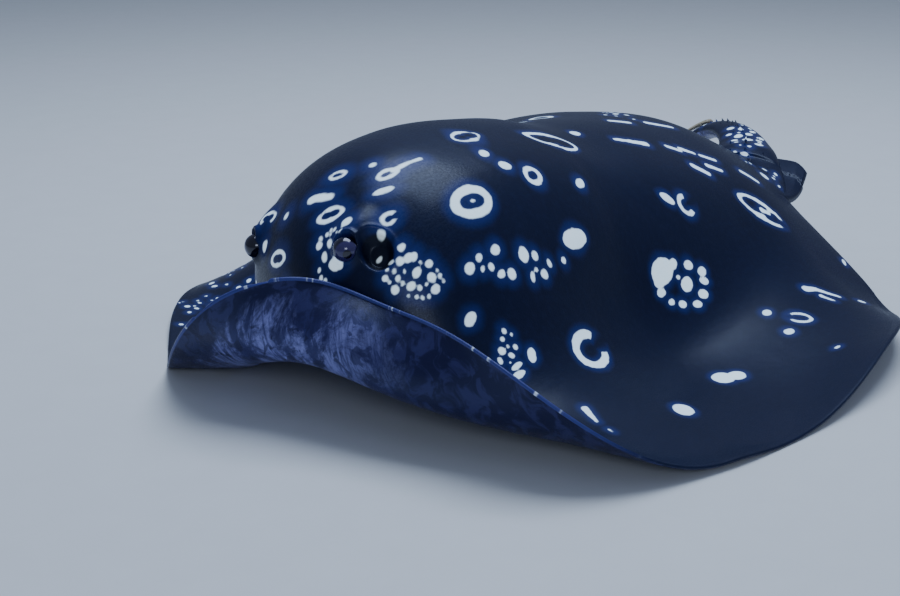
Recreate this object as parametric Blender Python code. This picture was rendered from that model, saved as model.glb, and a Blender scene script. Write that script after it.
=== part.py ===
"""A freshwater stingray, the white-blotched river stingray Potamotrygon leopoldi,
as a still life-size model. It lies on the floor with its back arched, the front left
of its disc curled up and the tail swept round to its right.

The animal is designed straight and flat, x forward and y to its left, and place()
then bends every point into the pose. Metres, +Z up.
"""
import math

import bmesh
import bpy
import numpy as np
from mathutils import Matrix, Vector

# ---------------------------------------------------------------------------
# Driving dimensions, metres. x runs forward to the snout, y to the animal's left.
# ---------------------------------------------------------------------------
DISC_WIDTH = 0.55
DISC_LENGTH = 1.06 * DISC_WIDTH
RIM_POWER = 2.12                    # 2 would be an ellipse; more is squarer
SNOUT_KNOB = 0.014 * DISC_WIDTH     # small point at the front of the disc
KNOB_SPREAD = math.radians(7)
RIM_THICKNESS = 0.004 * DISC_WIDTH

TRUNK_HEIGHT = 0.130 * DISC_WIDTH   # back above the belly, at the thickest
TRUNK_SPREAD = 0.17 * DISC_WIDTH
TRUNK_MIDDLE = 0.03 * DISC_WIDTH
TRUNK_FRONT = 0.30 * DISC_WIDTH
TRUNK_REAR = 0.42 * DISC_WIDTH
FRONT_POWER = 4                     # how squarely the trunk ends in front
REAR_POWER = 2.6
SIDE_POWER = 2.6
FIN_MUSCLE = 0.034 * DISC_WIDTH
FIN_POWER = 0.8

EYE_X = 0.288 * DISC_WIDTH
EYE_Y = 0.062 * DISC_WIDTH
EYE_RADIUS = 0.0150 * DISC_WIDTH
EYE_PROUD = 0.004 * DISC_WIDTH      # eye's centre above the plain back
SPIRACLE_X = EYE_X - 0.014 * DISC_WIDTH
SPIRACLE_Y = EYE_Y + 0.021 * DISC_WIDTH

TAIL_START = -0.44 * DISC_WIDTH     # where the spine leaves the disc's own bend
TAIL_LENGTH = 0.72 * DISC_WIDTH

# The strip from snout to tail tip, between the fins.
NOSE = DISC_LENGTH / 2 + SNOUT_KNOB
HEAD_BACK = 0.16 * DISC_WIDTH       # the head's rear border
HALF_WIDEST = 0.05 * DISC_WIDTH
TRUNK_HALF = 0.165 * DISC_WIDTH
SNOUT_DRAW = 0.115 * DISC_WIDTH     # how much narrower the strip is at the snout
PELVIS_X = -0.46 * DISC_WIDTH
PELVIS_HALF = 0.078 * DISC_WIDTH
TAIL_TIP = TAIL_START - TAIL_LENGTH
TIP_HALF = 0.002 * DISC_WIDTH
TAIL_HALF = 0.030 * DISC_WIDTH      # what the whip's own taper adds to TIP_HALF at the root
ROOT_FLARE = 0.046 * DISC_WIDTH     # what the flare that joins it to the trunk adds there
TAIL_THIN = 0.9                     # powers that shape the taper and the flare
FLARE_POWER = 5
TIP_HEIGHT = 0.003 * DISC_WIDTH
TAIL_TALL = 0.030 * DISC_WIDTH
ROOT_TALL = 0.024 * DISC_WIDTH
TALL_POWER = 4
TAIL_SKIN = 0.0015 * DISC_WIDTH     # least thickness of a tail section's sides
SECTION_START = 0.40 * DISC_WIDTH   # behind the centre, the trunk turns into the tail's oval
SECTION_END = 0.58 * DISC_WIDTH
PLATE = 0.006 * DISC_WIDTH          # thickness of a pelvic fin, fading out behind it
PLATE_ENDS = -0.62 * DISC_WIDTH
PLATE_FULL = -0.55 * DISC_WIDTH
REAR_ANGLE = math.radians(168)      # where the pectoral fins end
REAR_ROUNDING = 0.10                # how far their rear corners are rounded off
ROUNDING_START = 0.88               # from this share of the way back

# Pelvic fins: a round lobe beside the tail root.
PELVIC_REAR = -0.56 * DISC_WIDTH
PELVIC_X = -0.48 * DISC_WIDTH
PELVIC_Y = 0.048 * DISC_WIDTH
PELVIC_RADIUS = 0.078 * DISC_WIDTH
PELVIC_FIRST = math.radians(146)
PELVIC_LAST = math.radians(172)

# Tail fittings.
TAIL_BASE_END = -0.66 * DISC_WIDTH
TAIL_MIDDLE_END = -0.88 * DISC_WIDTH
FOLD_START = -0.86 * DISC_WIDTH
FOLD_HEIGHT = 0.011 * DISC_WIDTH
FOLD_FADE = 0.10 * DISC_WIDTH
FOLD_ENDS = 0.15                    # height left at a finfold's ends, as a share
FOLD_SWELL = 0.6
STING_START = -0.76 * DISC_WIDTH
STING_LENGTH = 0.12 * DISC_WIDTH

# Small forms.
ORBIT_RADII = (0.034 * DISC_WIDTH, 0.027 * DISC_WIDTH, 0.014 * DISC_WIDTH)
ORBIT_BEHIND = 0.008 * DISC_WIDTH   # the orbit's middle lies behind the eye's
SPIRACLE_RADII = (0.020 * DISC_WIDTH, 0.023 * DISC_WIDTH, 0.014 * DISC_WIDTH)
NOSTRIL_X = 0.275 * DISC_WIDTH
NOSTRIL_Y = 0.032 * DISC_WIDTH
NOSTRIL_RADII = (0.006 * DISC_WIDTH, 0.008 * DISC_WIDTH, 0.004 * DISC_WIDTH)
MOUTH_X = 0.240 * DISC_WIDTH
MOUTH_RADII = (0.007 * DISC_WIDTH, 0.044 * DISC_WIDTH, 0.006 * DISC_WIDTH)
GILL_PAIRS = 5
GILL_FIRST_X = 0.135 * DISC_WIDTH
GILL_FIRST_Y = 0.110 * DISC_WIDTH
GILL_STEP = 0.036 * DISC_WIDTH
GILL_DRAW = 0.008 * DISC_WIDTH
GILL_RADII = (0.004 * DISC_WIDTH, 0.013 * DISC_WIDTH, 0.004 * DISC_WIDTH)
THORN_FIRST = -0.47 * DISC_WIDTH
THORN_STEP = 0.024 * DISC_WIDTH
THORN_HEIGHT = 0.010 * DISC_WIDTH
THORN_RADIUS = 0.0055 * DISC_WIDTH
THORN_ROOT = 0.004 * DISC_WIDTH
THORN_RAKE = 35
THORN_POINT = THORN_RADIUS / 6
SIDE_THORN = 0.7                    # size of the side rows' thorns to the middle row's
THORN_SPREAD = 0.45                 # side rows' place, as a share of the half width
THORN_CLEAR = 0.014 * DISC_WIDTH    # left free at the ends of the tail's lengths
FOLD_FIRST = -0.95 * DISC_WIDTH
FOLD_LAST = -1.14 * DISC_WIDTH
FOLD_THICKNESS = 0.0015
FOLD_GAP = 0.0008                   # the tail's facets curve past the folds'
STING_WIDTH = 0.013 * DISC_WIDTH
STING_POINT = 0.002 * DISC_WIDTH
STING_DEPTH = 0.007 * DISC_WIDTH
STING_RISE = 0.012 * DISC_WIDTH
STING_TAPER = 0.6
STING_POINT_DEPTH = 0.2             # depth at the point, as a share
STING_EDGE = 0.35                   # depth at the edges, as a share

# Mesh: rows along the body and columns across it.
HEAD_ROWS = 13
ORBIT_MESH = (20, 12)               # divisions round and along each ellipsoid
SOCKET_MESH = (16, 10)
EYE_MESH = (16, 12)
MOUTH_MESH = (14, 6)
NOSTRIL_MESH = (10, 6)
GILL_MESH = (8, 6)
THORN_SIDES = 6
TRUNK_ROWS = 16
STRIP_COLUMNS = 13
FIN_COLUMNS = 13
FIN_COLUMN_POWER = 0.9              # packs the columns towards the margin
PELVIC_ROWS = 5                     # as many as the tail root has beside the fin
PELVIC_COLUMNS = 5
TAIL_COLUMNS = 9
TAIL_ROWS = 9
TIP_ROWS = 13
FINFOLD_ROWS = 14
STING_ROWS = 9
GAP = 0.0003                        # left between neighbouring solids
PELVIC_GAP = GAP                    # as the tail turns sharply beside these fins
MERGE = 1e-6
WALL_TURN = 0.3                     # sets which diagonal splits a wall
PROBE = 1e-4                        # step used to find the surface's direction
SHARP_ANGLE = math.radians(40)
TAIL_STEPS = 200
TAIL_BLEND = 0.12 * DISC_WIDTH
TAIL_SPREAD = 0.9                   # how much later the fins take up the tail's bend, for their width
FLAT_SHARE = 0.8                    # how much of its thickness a rim keeps on the floor

# ---------------------------------------------------------------------------
# Pose. The flat sheet leans at its centre and is turned by folds. Each fold is
# centred on a ray, fades out to its sides, and turns the sheet between two
# shares of the way out. Rays and turns are degrees; a ray of 0 is the snout, 90
# the left fin. A turn above 0 bends the sheet down, below 0 up.
# ---------------------------------------------------------------------------
FOLDS = (
    # ray, reach, start, end, turn
    (0, 80, 0.33, 0.65, 65),       # head, falling away in front of the eyes
    (10, 65, 0.60, 0.86, -50),     # front belly, laid on the floor
    (22, 54, 0.69, 0.98, -152),    # front left margin, standing up as a wall
    (80, 60, 0.05, 0.35, 12),      # left flank
    (95, 70, 0.45, 0.70, -30),     # left fin, laid flat
    (80, 40, 0.85, 1.00, -20),     # its margin, lifted a little
    (118, 34, 0.75, 0.95, -30),    # left rear margin, lifted more
    (185, 90, 0.00, 0.30, -20),    # hind back, running out level
    (190, 75, 0.60, 1.00, 45),     # rear margin, drooping
    (295, 85, 0.00, 0.40, 40),     # right shoulder
    (325, 50, 0.00, 0.30, 14),     # right side of the head
    (252, 75, 0.45, 0.80, 47),     # right fin, hanging down behind
    (322, 45, 0.45, 0.65, 16),     # front right, folded down
    (320, 45, 0.68, 0.82, -72),    # its flap, laid flat on the floor
)
LEAN_FORWARD = math.radians(-13)
LEAN_LEFT = math.radians(22)
CENTRE_HEIGHT = 0.141 * DISC_WIDTH
TAIL_TURN = np.radians((10, 34, 58, 78, 85, 75, 55))     # towards the right, root to tip
TAIL_FALL = np.radians((30, -10, -5, 30, 41, 5, 0))
BEND_STEPS = 32


def through(before, start, end, after, share):
    """A smooth curve through evenly spaced values, between start and end."""
    cubic = 3 * (start - end) + after - before
    square = 2 * before - 5 * start + 4 * end - after
    return start + 0.5 * share * (end - before + share * (square + share * cubic))


def smooth_step(value, low, high):
    """0 at low and 1 at high, with a soft start and end."""
    share = np.clip((value - low) / (high - low), 0, 1)
    return share * share * (3 - 2 * share)


def rim(angle):
    """Distance from the centre to the disc's edge; angle 0 is the snout, growing to the left."""
    across = np.abs(np.sin(angle)) / (DISC_WIDTH / 2)
    along = np.abs(np.cos(angle)) / (DISC_LENGTH / 2)
    edge = (across ** RIM_POWER + along ** RIM_POWER) ** (-1 / RIM_POWER)
    off_snout = (angle + np.pi) % (2 * np.pi) - np.pi
    return edge + SNOUT_KNOB * np.exp(-0.5 * (off_snout / KNOB_SPREAD) ** 2)


def fold_weights(angle):
    """How strongly each fold acts along the ray in each direction: 1 on its own ray."""
    rays, reaches = np.array([fold[:2] for fold in FOLDS]).T
    off = (np.degrees(angle)[:, None] - rays + 180) % 360 - 180
    return 0.5 + 0.5 * np.cos(np.pi * np.clip(off / reaches, -1, 1))


def bent_sheet(x, y):
    """Where points of the flat underside lie in the pose."""
    angle = np.arctan2(y, x)
    reach = np.hypot(x, y)
    share = np.minimum(reach / rim(angle), 1)
    lean = LEAN_FORWARD * np.cos(angle) + LEAN_LEFT * np.sin(angle)
    turns = fold_weights(angle) * np.radians([fold[4] for fold in FOLDS])
    out = np.zeros(len(x))
    down = np.zeros(len(x))
    for step in range(BEND_STEPS):
        spot = (step + 0.5) / BEND_STEPS * share
        slope = lean.copy()
        for column, (_, _, start, end, _) in enumerate(FOLDS):
            slope += turns[:, column] * smooth_step(spot, start, end)
        out += np.cos(slope)
        down += np.sin(slope)
    out *= reach / BEND_STEPS
    down *= reach / BEND_STEPS
    return np.column_stack((out * np.cos(angle), out * np.sin(angle), CENTRE_HEIGHT - down))


def tail_line():
    """The tail's middle line in the pose: a point, its left and its up at each small step."""
    count = TAIL_STEPS
    spot = (np.arange(count) + 0.5) / count * (len(TAIL_TURN) - 1)
    low = np.minimum(spot.astype(int), len(TAIL_TURN) - 2)
    table = []
    for angles in (TAIL_TURN, TAIL_FALL):
        ends = np.concatenate(([2 * angles[0] - angles[1]], angles, [2 * angles[-1] - angles[-2]]))
        table.append(through(*(ends[low + shift] for shift in range(4)), spot - low))
    turn, fall = table
    heading = np.column_stack((-np.cos(turn) * np.cos(fall), -np.sin(turn) * np.cos(fall), -np.sin(fall)))
    start = bent_sheet(np.array([TAIL_START]), np.zeros(1))
    points = np.vstack((start, start + np.cumsum(heading, axis=0) * TAIL_LENGTH / count))
    heading = np.vstack((heading[:1], heading))
    left = np.cross(heading, (0, 0, 1))
    left /= np.linalg.norm(left, axis=1)[:, None]
    return points, left, np.cross(left, heading)


def place(x, y, lift):
    """Pose points of the straight, flat animal; lift is the height above its underside."""
    shape = np.broadcast_shapes(np.shape(x), np.shape(y), np.shape(lift))
    x, y, lift = (np.broadcast_to(value, shape).astype(float).ravel() for value in (x, y, lift))
    sheet = bent_sheet(x, y)
    normal = np.cross(bent_sheet(x + PROBE, y) - sheet, bent_sheet(x, y + PROBE) - sheet)
    normal /= np.linalg.norm(normal, axis=1)[:, None]
    disc = sheet + normal * lift[:, None]
    along = np.clip((TAIL_START - x) / TAIL_LENGTH, 0, 1) * TAIL_STEPS
    low = np.minimum(along.astype(int), TAIL_STEPS - 1)
    share = (along - low)[:, None]
    point, left, up = (part[low] * (1 - share) + part[low + 1] * share for part in TAIL_FRAME)
    tail = point + left * y[:, None] + up * lift[:, None]
    late = TAIL_SPREAD * np.maximum(np.abs(y) - PELVIS_HALF, 0)
    on_tail = smooth_step(TAIL_START - x - late, 0, TAIL_BLEND)[:, None]
    posed = disc * (1 - on_tail) + tail * on_tail
    posed[:, 2] = np.maximum(posed[:, 2], FLAT_SHARE * np.minimum(lift, RIM_THICKNESS))
    return posed.reshape(shape + (3,))


def half_width(x):
    """Half the width of the head, trunk and tail, between the fins."""
    front = TRUNK_HALF - SNOUT_DRAW * (np.maximum(x - HALF_WIDEST, 0) / (NOSE - HALF_WIDEST)) ** 2
    rear = PELVIS_HALF + (TRUNK_HALF - PELVIS_HALF) * smooth_step(x, PELVIS_X, HALF_WIDEST)
    left_over = np.clip((x - TAIL_TIP) / (PELVIS_X - TAIL_TIP), 0, 1)
    tail = TIP_HALF + TAIL_HALF * left_over ** TAIL_THIN + ROOT_FLARE * left_over ** FLARE_POWER
    return np.where(x > HALF_WIDEST, front, np.where(x > PELVIS_X, rear, tail))


def tail_height(x):
    """Height of the tail's oval section."""
    left_over = np.clip((x - TAIL_TIP) / (PELVIS_X - TAIL_TIP), 0, 1)
    return TIP_HEIGHT + TAIL_TALL * left_over ** TAIL_THIN + ROOT_TALL * left_over ** TALL_POWER


def disc_height(x, y):
    """Height of the back above the underside in the disc: trunk and fin muscle."""
    front = x > TRUNK_MIDDLE
    spread = np.where(front, TRUNK_FRONT, TRUNK_REAR)
    power = np.where(front, FRONT_POWER, REAR_POWER)
    trunk = TRUNK_HEIGHT * np.exp(-np.abs((x - TRUNK_MIDDLE) / spread) ** power)
    trunk = trunk * np.exp(-np.abs(y / TRUNK_SPREAD) ** SIDE_POWER)
    share = np.hypot(2 * x / DISC_LENGTH, 2 * y / DISC_WIDTH)
    fin = FIN_MUSCLE * np.clip(1 - share, 0, 1) ** FIN_POWER + RIM_THICKNESS
    return np.hypot(trunk, fin)


def tail_share(x):
    """0 where the section is the disc's, 1 where it is the tail's oval."""
    return smooth_step(-x, SECTION_START, SECTION_END)


def oval(x, y):
    """Height share of the tail's oval section: 1 on the middle line, 0 at its sides."""
    return np.sqrt(np.clip(1 - (y / half_width(x)) ** 2, 0, 1))


def fold_lift(x):
    """How far the lower finfold holds the tail's end off its own lower edge."""
    return FOLD_HEIGHT * smooth_step(-x, -FOLD_START, -FOLD_START + FOLD_FADE)


def under_height(x, y):
    """Height of the underside: 0 in the disc, rounded up at the sides of the tail."""
    height = tail_height(x)
    return tail_share(x) * (0.5 * height * (1 - oval(x, y)) + fold_lift(x))


def back_height(x, y):
    """Height of the back over the whole animal."""
    height = tail_height(x)
    plate = PLATE * smooth_step(x, PLATE_ENDS, PLATE_FULL)
    tail = 0.5 * height * (1 + oval(x, y)) + plate + TAIL_SKIN + fold_lift(x)
    share = tail_share(x)
    return disc_height(x, y) * (1 - share) + tail * share


def front_edge(y):
    """How far forward the disc reaches at each distance from the middle line."""
    plain = DISC_LENGTH / 2 * (1 - np.abs(2 * y / DISC_WIDTH) ** RIM_POWER) ** (1 / RIM_POWER)
    return plain + SNOUT_KNOB * np.exp(-0.5 * (y / DISC_LENGTH * 2 / KNOB_SPREAD) ** 2)


def strip_point(station, across, inset=0.0):
    """A point of the strip from snout to tail tip; across runs from -1 to 1."""
    y = across * (half_width(station) - inset)
    ahead = np.clip((station - HEAD_BACK) / (NOSE - HEAD_BACK), 0, 1)
    return station + ahead * (front_edge(y) - NOSE), y


def pectoral_points(stations, outward, side, inset=0.0):
    """A pectoral fin's rows, each a straight line from the strip's side out to the rim."""
    inner_x, inner_y = strip_point(stations, 1.0, -inset)
    corner_x, corner_y = strip_point(NOSE, 1.0, -inset)
    first = math.atan2(corner_y, corner_x)
    share = (stations[-1] - stations) / (stations[-1] - stations[0])
    angle = first + (REAR_ANGLE - first) * share
    late = np.clip((share - ROUNDING_START) / (1 - ROUNDING_START), 0, 1)
    reach = rim(angle) * (1 - REAR_ROUNDING * late ** 2)
    outer_x, outer_y = reach * np.cos(angle), reach * np.sin(angle)
    outer_x[-1], outer_y[-1] = inner_x[-1], inner_y[-1]
    out = np.asarray(outward)[None, :]
    x = inner_x[:, None] * (1 - out) + outer_x[:, None] * out
    y = inner_y[:, None] * (1 - out) + outer_y[:, None] * out
    return x, y * side


def pelvic_points(stations, outward, side, inset=0.0):
    """A pelvic fin's rows, from the tail root out to a rounded edge."""
    inner_x, inner_y = strip_point(stations, 1.0, -inset)
    share = (stations[-1] - stations) / (stations[-1] - stations[0])
    angle = PELVIC_FIRST + (PELVIC_LAST - PELVIC_FIRST) * share
    outer_x = PELVIC_X + PELVIC_RADIUS * np.cos(angle)
    outer_y = PELVIC_Y + PELVIC_RADIUS * np.sin(angle)
    out = np.asarray(outward)[None, :]
    x = inner_x[:, None] * (1 - out) + outer_x[:, None] * out
    y = inner_y[:, None] * (1 - out) + outer_y[:, None] * out
    return x, y * side


# ---------------------------------------------------------------------------
# Building
# ---------------------------------------------------------------------------
def material(name, colour, roughness, metallic=0.0):
    """A Principled material."""
    made = bpy.data.materials.new(name)
    made.use_nodes = True
    shader = made.node_tree.nodes["Principled BSDF"]
    shader.inputs["Base Color"].default_value = (*colour, 1)
    shader.inputs["Roughness"].default_value = roughness
    shader.inputs["Metallic"].default_value = metallic
    return made


def add_object(name, mesh, finish):
    """Turn a bmesh into a named object, shaded smooth up to a sharp edge."""
    bmesh.ops.remove_doubles(mesh, verts=mesh.verts, dist=MERGE)
    bmesh.ops.recalc_face_normals(mesh, faces=mesh.faces)
    if mesh.calc_volume(signed=True) < 0:
        bmesh.ops.reverse_faces(mesh, faces=mesh.faces)
    data = bpy.data.meshes.new(name)
    mesh.to_mesh(data)
    mesh.free()
    data.shade_smooth()
    data.set_sharp_from_angle(angle=SHARP_ANGLE)
    data.materials.append(finish)
    made = bpy.data.objects.new(name, data)
    bpy.context.scene.collection.objects.link(made)
    return made


def slab(name, x, y, finish, under=under_height, back=back_height):
    """A closed solid over a grid of flat points, from its underside to its back."""
    mesh = bmesh.new()
    layers = []
    for height in (under, back):
        posed = place(x, y, height(x, y))
        layers.append([[mesh.verts.new(point) for point in row] for row in posed])
    bottom, top = layers
    rows, columns = x.shape
    for row in range(rows - 1):
        for column in range(columns - 1):
            corners = ((row, column), (row + 1, column), (row + 1, column + 1), (row, column + 1))
            mesh.faces.new([top[i][j] for i, j in corners])
            mesh.faces.new([bottom[i][j] for i, j in reversed(corners)])
    edge = [(0, j) for j in range(columns)]
    edge += [(i, columns - 1) for i in range(1, rows)]
    edge += [(rows - 1, j) for j in range(columns - 2, -1, -1)]
    edge += [(i, 0) for i in range(rows - 2, 0, -1)]
    for here, following in zip(edge, edge[1:] + edge[:1]):
        # Neighbouring solids split their twisted walls along the same diagonal.
        if x[following] + WALL_TURN * y[following] < x[here] + WALL_TURN * y[here]:
            here, following = following, here
        (i, j), (k, m) = here, following
        mesh.faces.new((top[i][j], top[k][m], bottom[i][j]))
        mesh.faces.new((top[k][m], bottom[k][m], bottom[i][j]))
    return add_object(name, mesh, finish)


def local_frame(x, y, lift):
    """Position and axes (forward, left, up) of the posed body at one point."""
    here, ahead, aside = place(np.array([x, x + PROBE, x]), np.array([y, y, y + PROBE]), lift)
    forward = Vector(ahead - here).normalized()
    up = forward.cross(Vector(aside - here)).normalized()
    axes = Matrix((forward, up.cross(forward), up)).transposed()
    return Matrix.Translation(Vector(here)) @ axes.to_4x4()


def ellipsoid(name, frame, radii, finish, divisions):
    """An ellipsoid whose half sizes lie along its frame's axes."""
    mesh = bmesh.new()
    bmesh.ops.create_uvsphere(mesh, u_segments=divisions[0], v_segments=divisions[1], radius=1)
    bmesh.ops.transform(mesh, matrix=Matrix.Diagonal((*radii, 1)), verts=mesh.verts)
    made = add_object(name, mesh, finish)
    made.matrix_world = frame
    return made


def combine(target, helper, operation):
    """Cut the helper out of the target, or join it on."""
    helper.hide_render = True
    helper.display_type = "WIRE"
    modifier = target.modifiers.new(helper.name, "BOOLEAN")
    modifier.operation = operation
    modifier.object = helper


def strip_grid(first, last, rows, columns):
    """Flat points of the strip between two stations, inset from its neighbours."""
    stations = np.linspace(first, last, rows)[:, None]
    return strip_point(stations, np.linspace(-1, 1, columns)[None, :], GAP / 2)


def make_head(skin):
    x, y = strip_grid(HEAD_BACK + GAP / 2, NOSE, HEAD_ROWS, STRIP_COLUMNS)
    head = slab("head", x, y, skin)
    for side, word in ((1, "left"), (-1, "right")):
        orbit = local_frame(EYE_X - ORBIT_BEHIND, side * EYE_Y, back_at(EYE_X, EYE_Y))
        combine(head, ellipsoid("join_orbit_" + word, orbit, ORBIT_RADII, skin, ORBIT_MESH), "UNION")
        eye = local_frame(EYE_X, side * EYE_Y, back_at(EYE_X, EYE_Y) + EYE_PROUD)
        socket = ellipsoid("cut_socket_" + word, eye, (EYE_RADIUS + GAP,) * 3, skin, SOCKET_MESH)
        combine(head, socket, "DIFFERENCE")
        hole = local_frame(SPIRACLE_X, side * SPIRACLE_Y, back_at(SPIRACLE_X, SPIRACLE_Y))
        spiracle = ellipsoid("cut_spiracle_" + word, hole, SPIRACLE_RADII, skin, SOCKET_MESH)
        combine(head, spiracle, "DIFFERENCE")
        nostril = local_frame(NOSTRIL_X, side * NOSTRIL_Y, 0)
        nares = ellipsoid("cut_nostril_" + word, nostril, NOSTRIL_RADII, skin, NOSTRIL_MESH)
        combine(head, nares, "DIFFERENCE")
    mouth = ellipsoid("cut_mouth", local_frame(MOUTH_X, 0, 0), MOUTH_RADII, skin, MOUTH_MESH)
    combine(head, mouth, "DIFFERENCE")


def back_at(x, y):
    """Height of the back at one point."""
    return float(back_height(np.array([x]), np.array([y]))[0])


def make_trunk(skin):
    x, y = strip_grid(PELVIS_X + GAP / 2, HEAD_BACK - GAP / 2, TRUNK_ROWS, STRIP_COLUMNS)
    trunk = slab("trunk", x, y, skin)
    for pair in range(GILL_PAIRS):
        for side, word in ((1, "left"), (-1, "right")):
            gill_x = GILL_FIRST_X - pair * GILL_STEP
            gill_y = GILL_FIRST_Y - pair * GILL_DRAW
            frame = local_frame(gill_x, side * gill_y, 0)
            slit = ellipsoid(f"cut_gill_{word}_{pair + 1}", frame, GILL_RADII, skin, GILL_MESH)
            combine(trunk, slit, "DIFFERENCE")


def make_fins(skin):
    strip_rows = np.concatenate((
        np.linspace(PELVIS_X, HEAD_BACK, TRUNK_ROWS),
        np.linspace(HEAD_BACK, NOSE, HEAD_ROWS)[1:],
    ))
    outward = np.linspace(0, 1, FIN_COLUMNS) ** FIN_COLUMN_POWER
    pelvic_rows = np.minimum(np.linspace(PELVIC_REAR, PELVIS_X, PELVIC_ROWS), PELVIS_X - GAP)
    for side, word in ((1, "left"), (-1, "right")):
        x, y = pectoral_points(strip_rows, outward, side, GAP / 2)
        slab("pectoral_fin_" + word, x, y, skin)
        x, y = pelvic_points(pelvic_rows, np.linspace(0, 1, PELVIC_COLUMNS), side, PELVIC_GAP)
        slab("pelvic_fin_" + word, x, y, skin)


def thorns(name, stations, skin):
    """Rows of low cones along the tail: one on the middle line and one at each side."""
    mesh = bmesh.new()
    for number, x in enumerate(stations):
        for row in (-1, 0, 1):
            if row and number % 2:
                continue
            y = row * THORN_SPREAD * half_width(x)
            size = THORN_HEIGHT * (SIDE_THORN if row else 1)
            frame = local_frame(float(x), float(y), back_at(x, y) - THORN_ROOT)
            cone = Matrix.Rotation(math.radians(-THORN_RAKE), 4, "Y")
            cone = frame @ cone @ Matrix.Translation((0, 0, (size + THORN_ROOT) / 2))
            bmesh.ops.create_cone(
                mesh, cap_ends=True, segments=THORN_SIDES, radius1=THORN_RADIUS, radius2=THORN_POINT,
                depth=size + THORN_ROOT, matrix=cone,
            )
    return add_object(name, mesh, skin)


def make_tail(skin):
    lengths = (
        ("tail_base", PELVIS_X - GAP / 2, TAIL_BASE_END, TAIL_ROWS),
        ("tail_middle", TAIL_BASE_END - GAP, TAIL_MIDDLE_END, TAIL_ROWS),
        ("tail_tip", TAIL_MIDDLE_END - GAP, TAIL_TIP, TIP_ROWS),
    )
    across = np.sin(np.linspace(-np.pi / 2, np.pi / 2, TAIL_COLUMNS))[None, :]
    made = []
    for name, first, last, rows in lengths:
        stations = np.linspace(first, last, rows)[:, None]
        made.append(slab(name, *strip_point(stations, across, GAP / 2), skin))
    base_thorns = np.arange(THORN_FIRST, TAIL_BASE_END + THORN_CLEAR, -THORN_STEP)
    middle_thorns = np.arange(TAIL_BASE_END - THORN_CLEAR, STING_START + THORN_CLEAR, -THORN_STEP)
    combine(made[0], thorns("join_thorns_base", base_thorns, skin), "UNION")
    combine(made[1], thorns("join_thorns_middle", middle_thorns, skin), "UNION")


def make_finfolds(skin):
    """The thin keels above and below the end of the tail."""
    thickness = np.array([[-FOLD_THICKNESS / 2, FOLD_THICKNESS / 2]])

    def swell(x):
        share = np.clip((x - FOLD_LAST) / (FOLD_FIRST - FOLD_LAST), 0, 1)
        return FOLD_ENDS + (1 - FOLD_ENDS) * np.sin(np.pi * share) ** FOLD_SWELL

    stations = np.linspace(FOLD_FIRST, FOLD_LAST, FINFOLD_ROWS)[:, None]
    x, y = np.broadcast_arrays(stations, thickness)
    slab(
        "tail_finfold_upper", x, y, skin,
        under=lambda x, y: back_height(x, 0 * y) + FOLD_GAP,
        back=lambda x, y: back_height(x, 0 * y) + FOLD_GAP + FOLD_HEIGHT * swell(x),
    )
    slab(
        "tail_finfold_lower", x, y, skin,
        under=lambda x, y: 0 * x,
        back=lambda x, y: fold_lift(x) - FOLD_GAP,
    )


def make_sting(finish):
    """A flat tapering spine that lies along the tail, its point raised."""
    share = np.linspace(0, 1, STING_ROWS)[:, None]
    width = STING_WIDTH * (1 - share) ** STING_TAPER + STING_POINT
    x = STING_START - STING_LENGTH * share + 0 * width
    x, y = np.broadcast_arrays(x, width * np.array([[-0.5, 0, 0.5]]))

    def base(x, y):
        along = (STING_START - x) / STING_LENGTH
        return back_height(x, 0 * y) + GAP + STING_RISE * along

    def crest(x, y):
        along = (STING_START - x) / STING_LENGTH
        depth = STING_DEPTH * (1 - (1 - STING_POINT_DEPTH) * along)
        return base(x, y) + depth * np.where(np.abs(y) < STING_POINT / 4, 1, STING_EDGE)

    slab("tail_sting", x, y, finish, under=base, back=crest)


def make_eyes(finish):
    for side, word in ((1, "left"), (-1, "right")):
        frame = local_frame(EYE_X, side * EYE_Y, back_at(EYE_X, EYE_Y) + EYE_PROUD)
        ellipsoid("eye_" + word, frame, (EYE_RADIUS,) * 3, finish, EYE_MESH)


def centre_on_origin():
    """Slide everything so that the origin lies under the middle of the animal's box."""
    bpy.context.view_layer.update()
    corners = []
    for made in bpy.data.objects:
        if not made.hide_render:
            corners += [made.matrix_world @ vertex.co for vertex in made.data.vertices]
    corners = np.array(corners)
    middle = (corners.min(axis=0) + corners.max(axis=0)) / 2
    for made in bpy.data.objects:
        made.location.x -= middle[0]
        made.location.y -= middle[1]


def main():
    for old in list(bpy.data.objects):
        bpy.data.objects.remove(old, do_unlink=True)
    skin = material("wet_skin", (0.012, 0.016, 0.030), 0.28)
    fin_skin = material("wet_fin_skin", (0.016, 0.020, 0.036), 0.30)
    eye_gloss = material("eye_gloss", (0.004, 0.004, 0.006), 0.05)
    sting_bone = material("sting_bone", (0.42, 0.36, 0.26), 0.45)
    make_head(skin)
    make_trunk(skin)
    make_fins(fin_skin)
    make_tail(skin)
    make_finfolds(fin_skin)
    make_sting(sting_bone)
    make_eyes(eye_gloss)
    centre_on_origin()


TAIL_FRAME = tail_line()
main()
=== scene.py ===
"""The looks of the freshwater stingray: one wet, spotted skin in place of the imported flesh,
glossy eyes, tail thorns and sting, a pale studio floor and the camera.
"""
import math

import bpy
import numpy as np
from mathutils import Matrix, Vector


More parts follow.
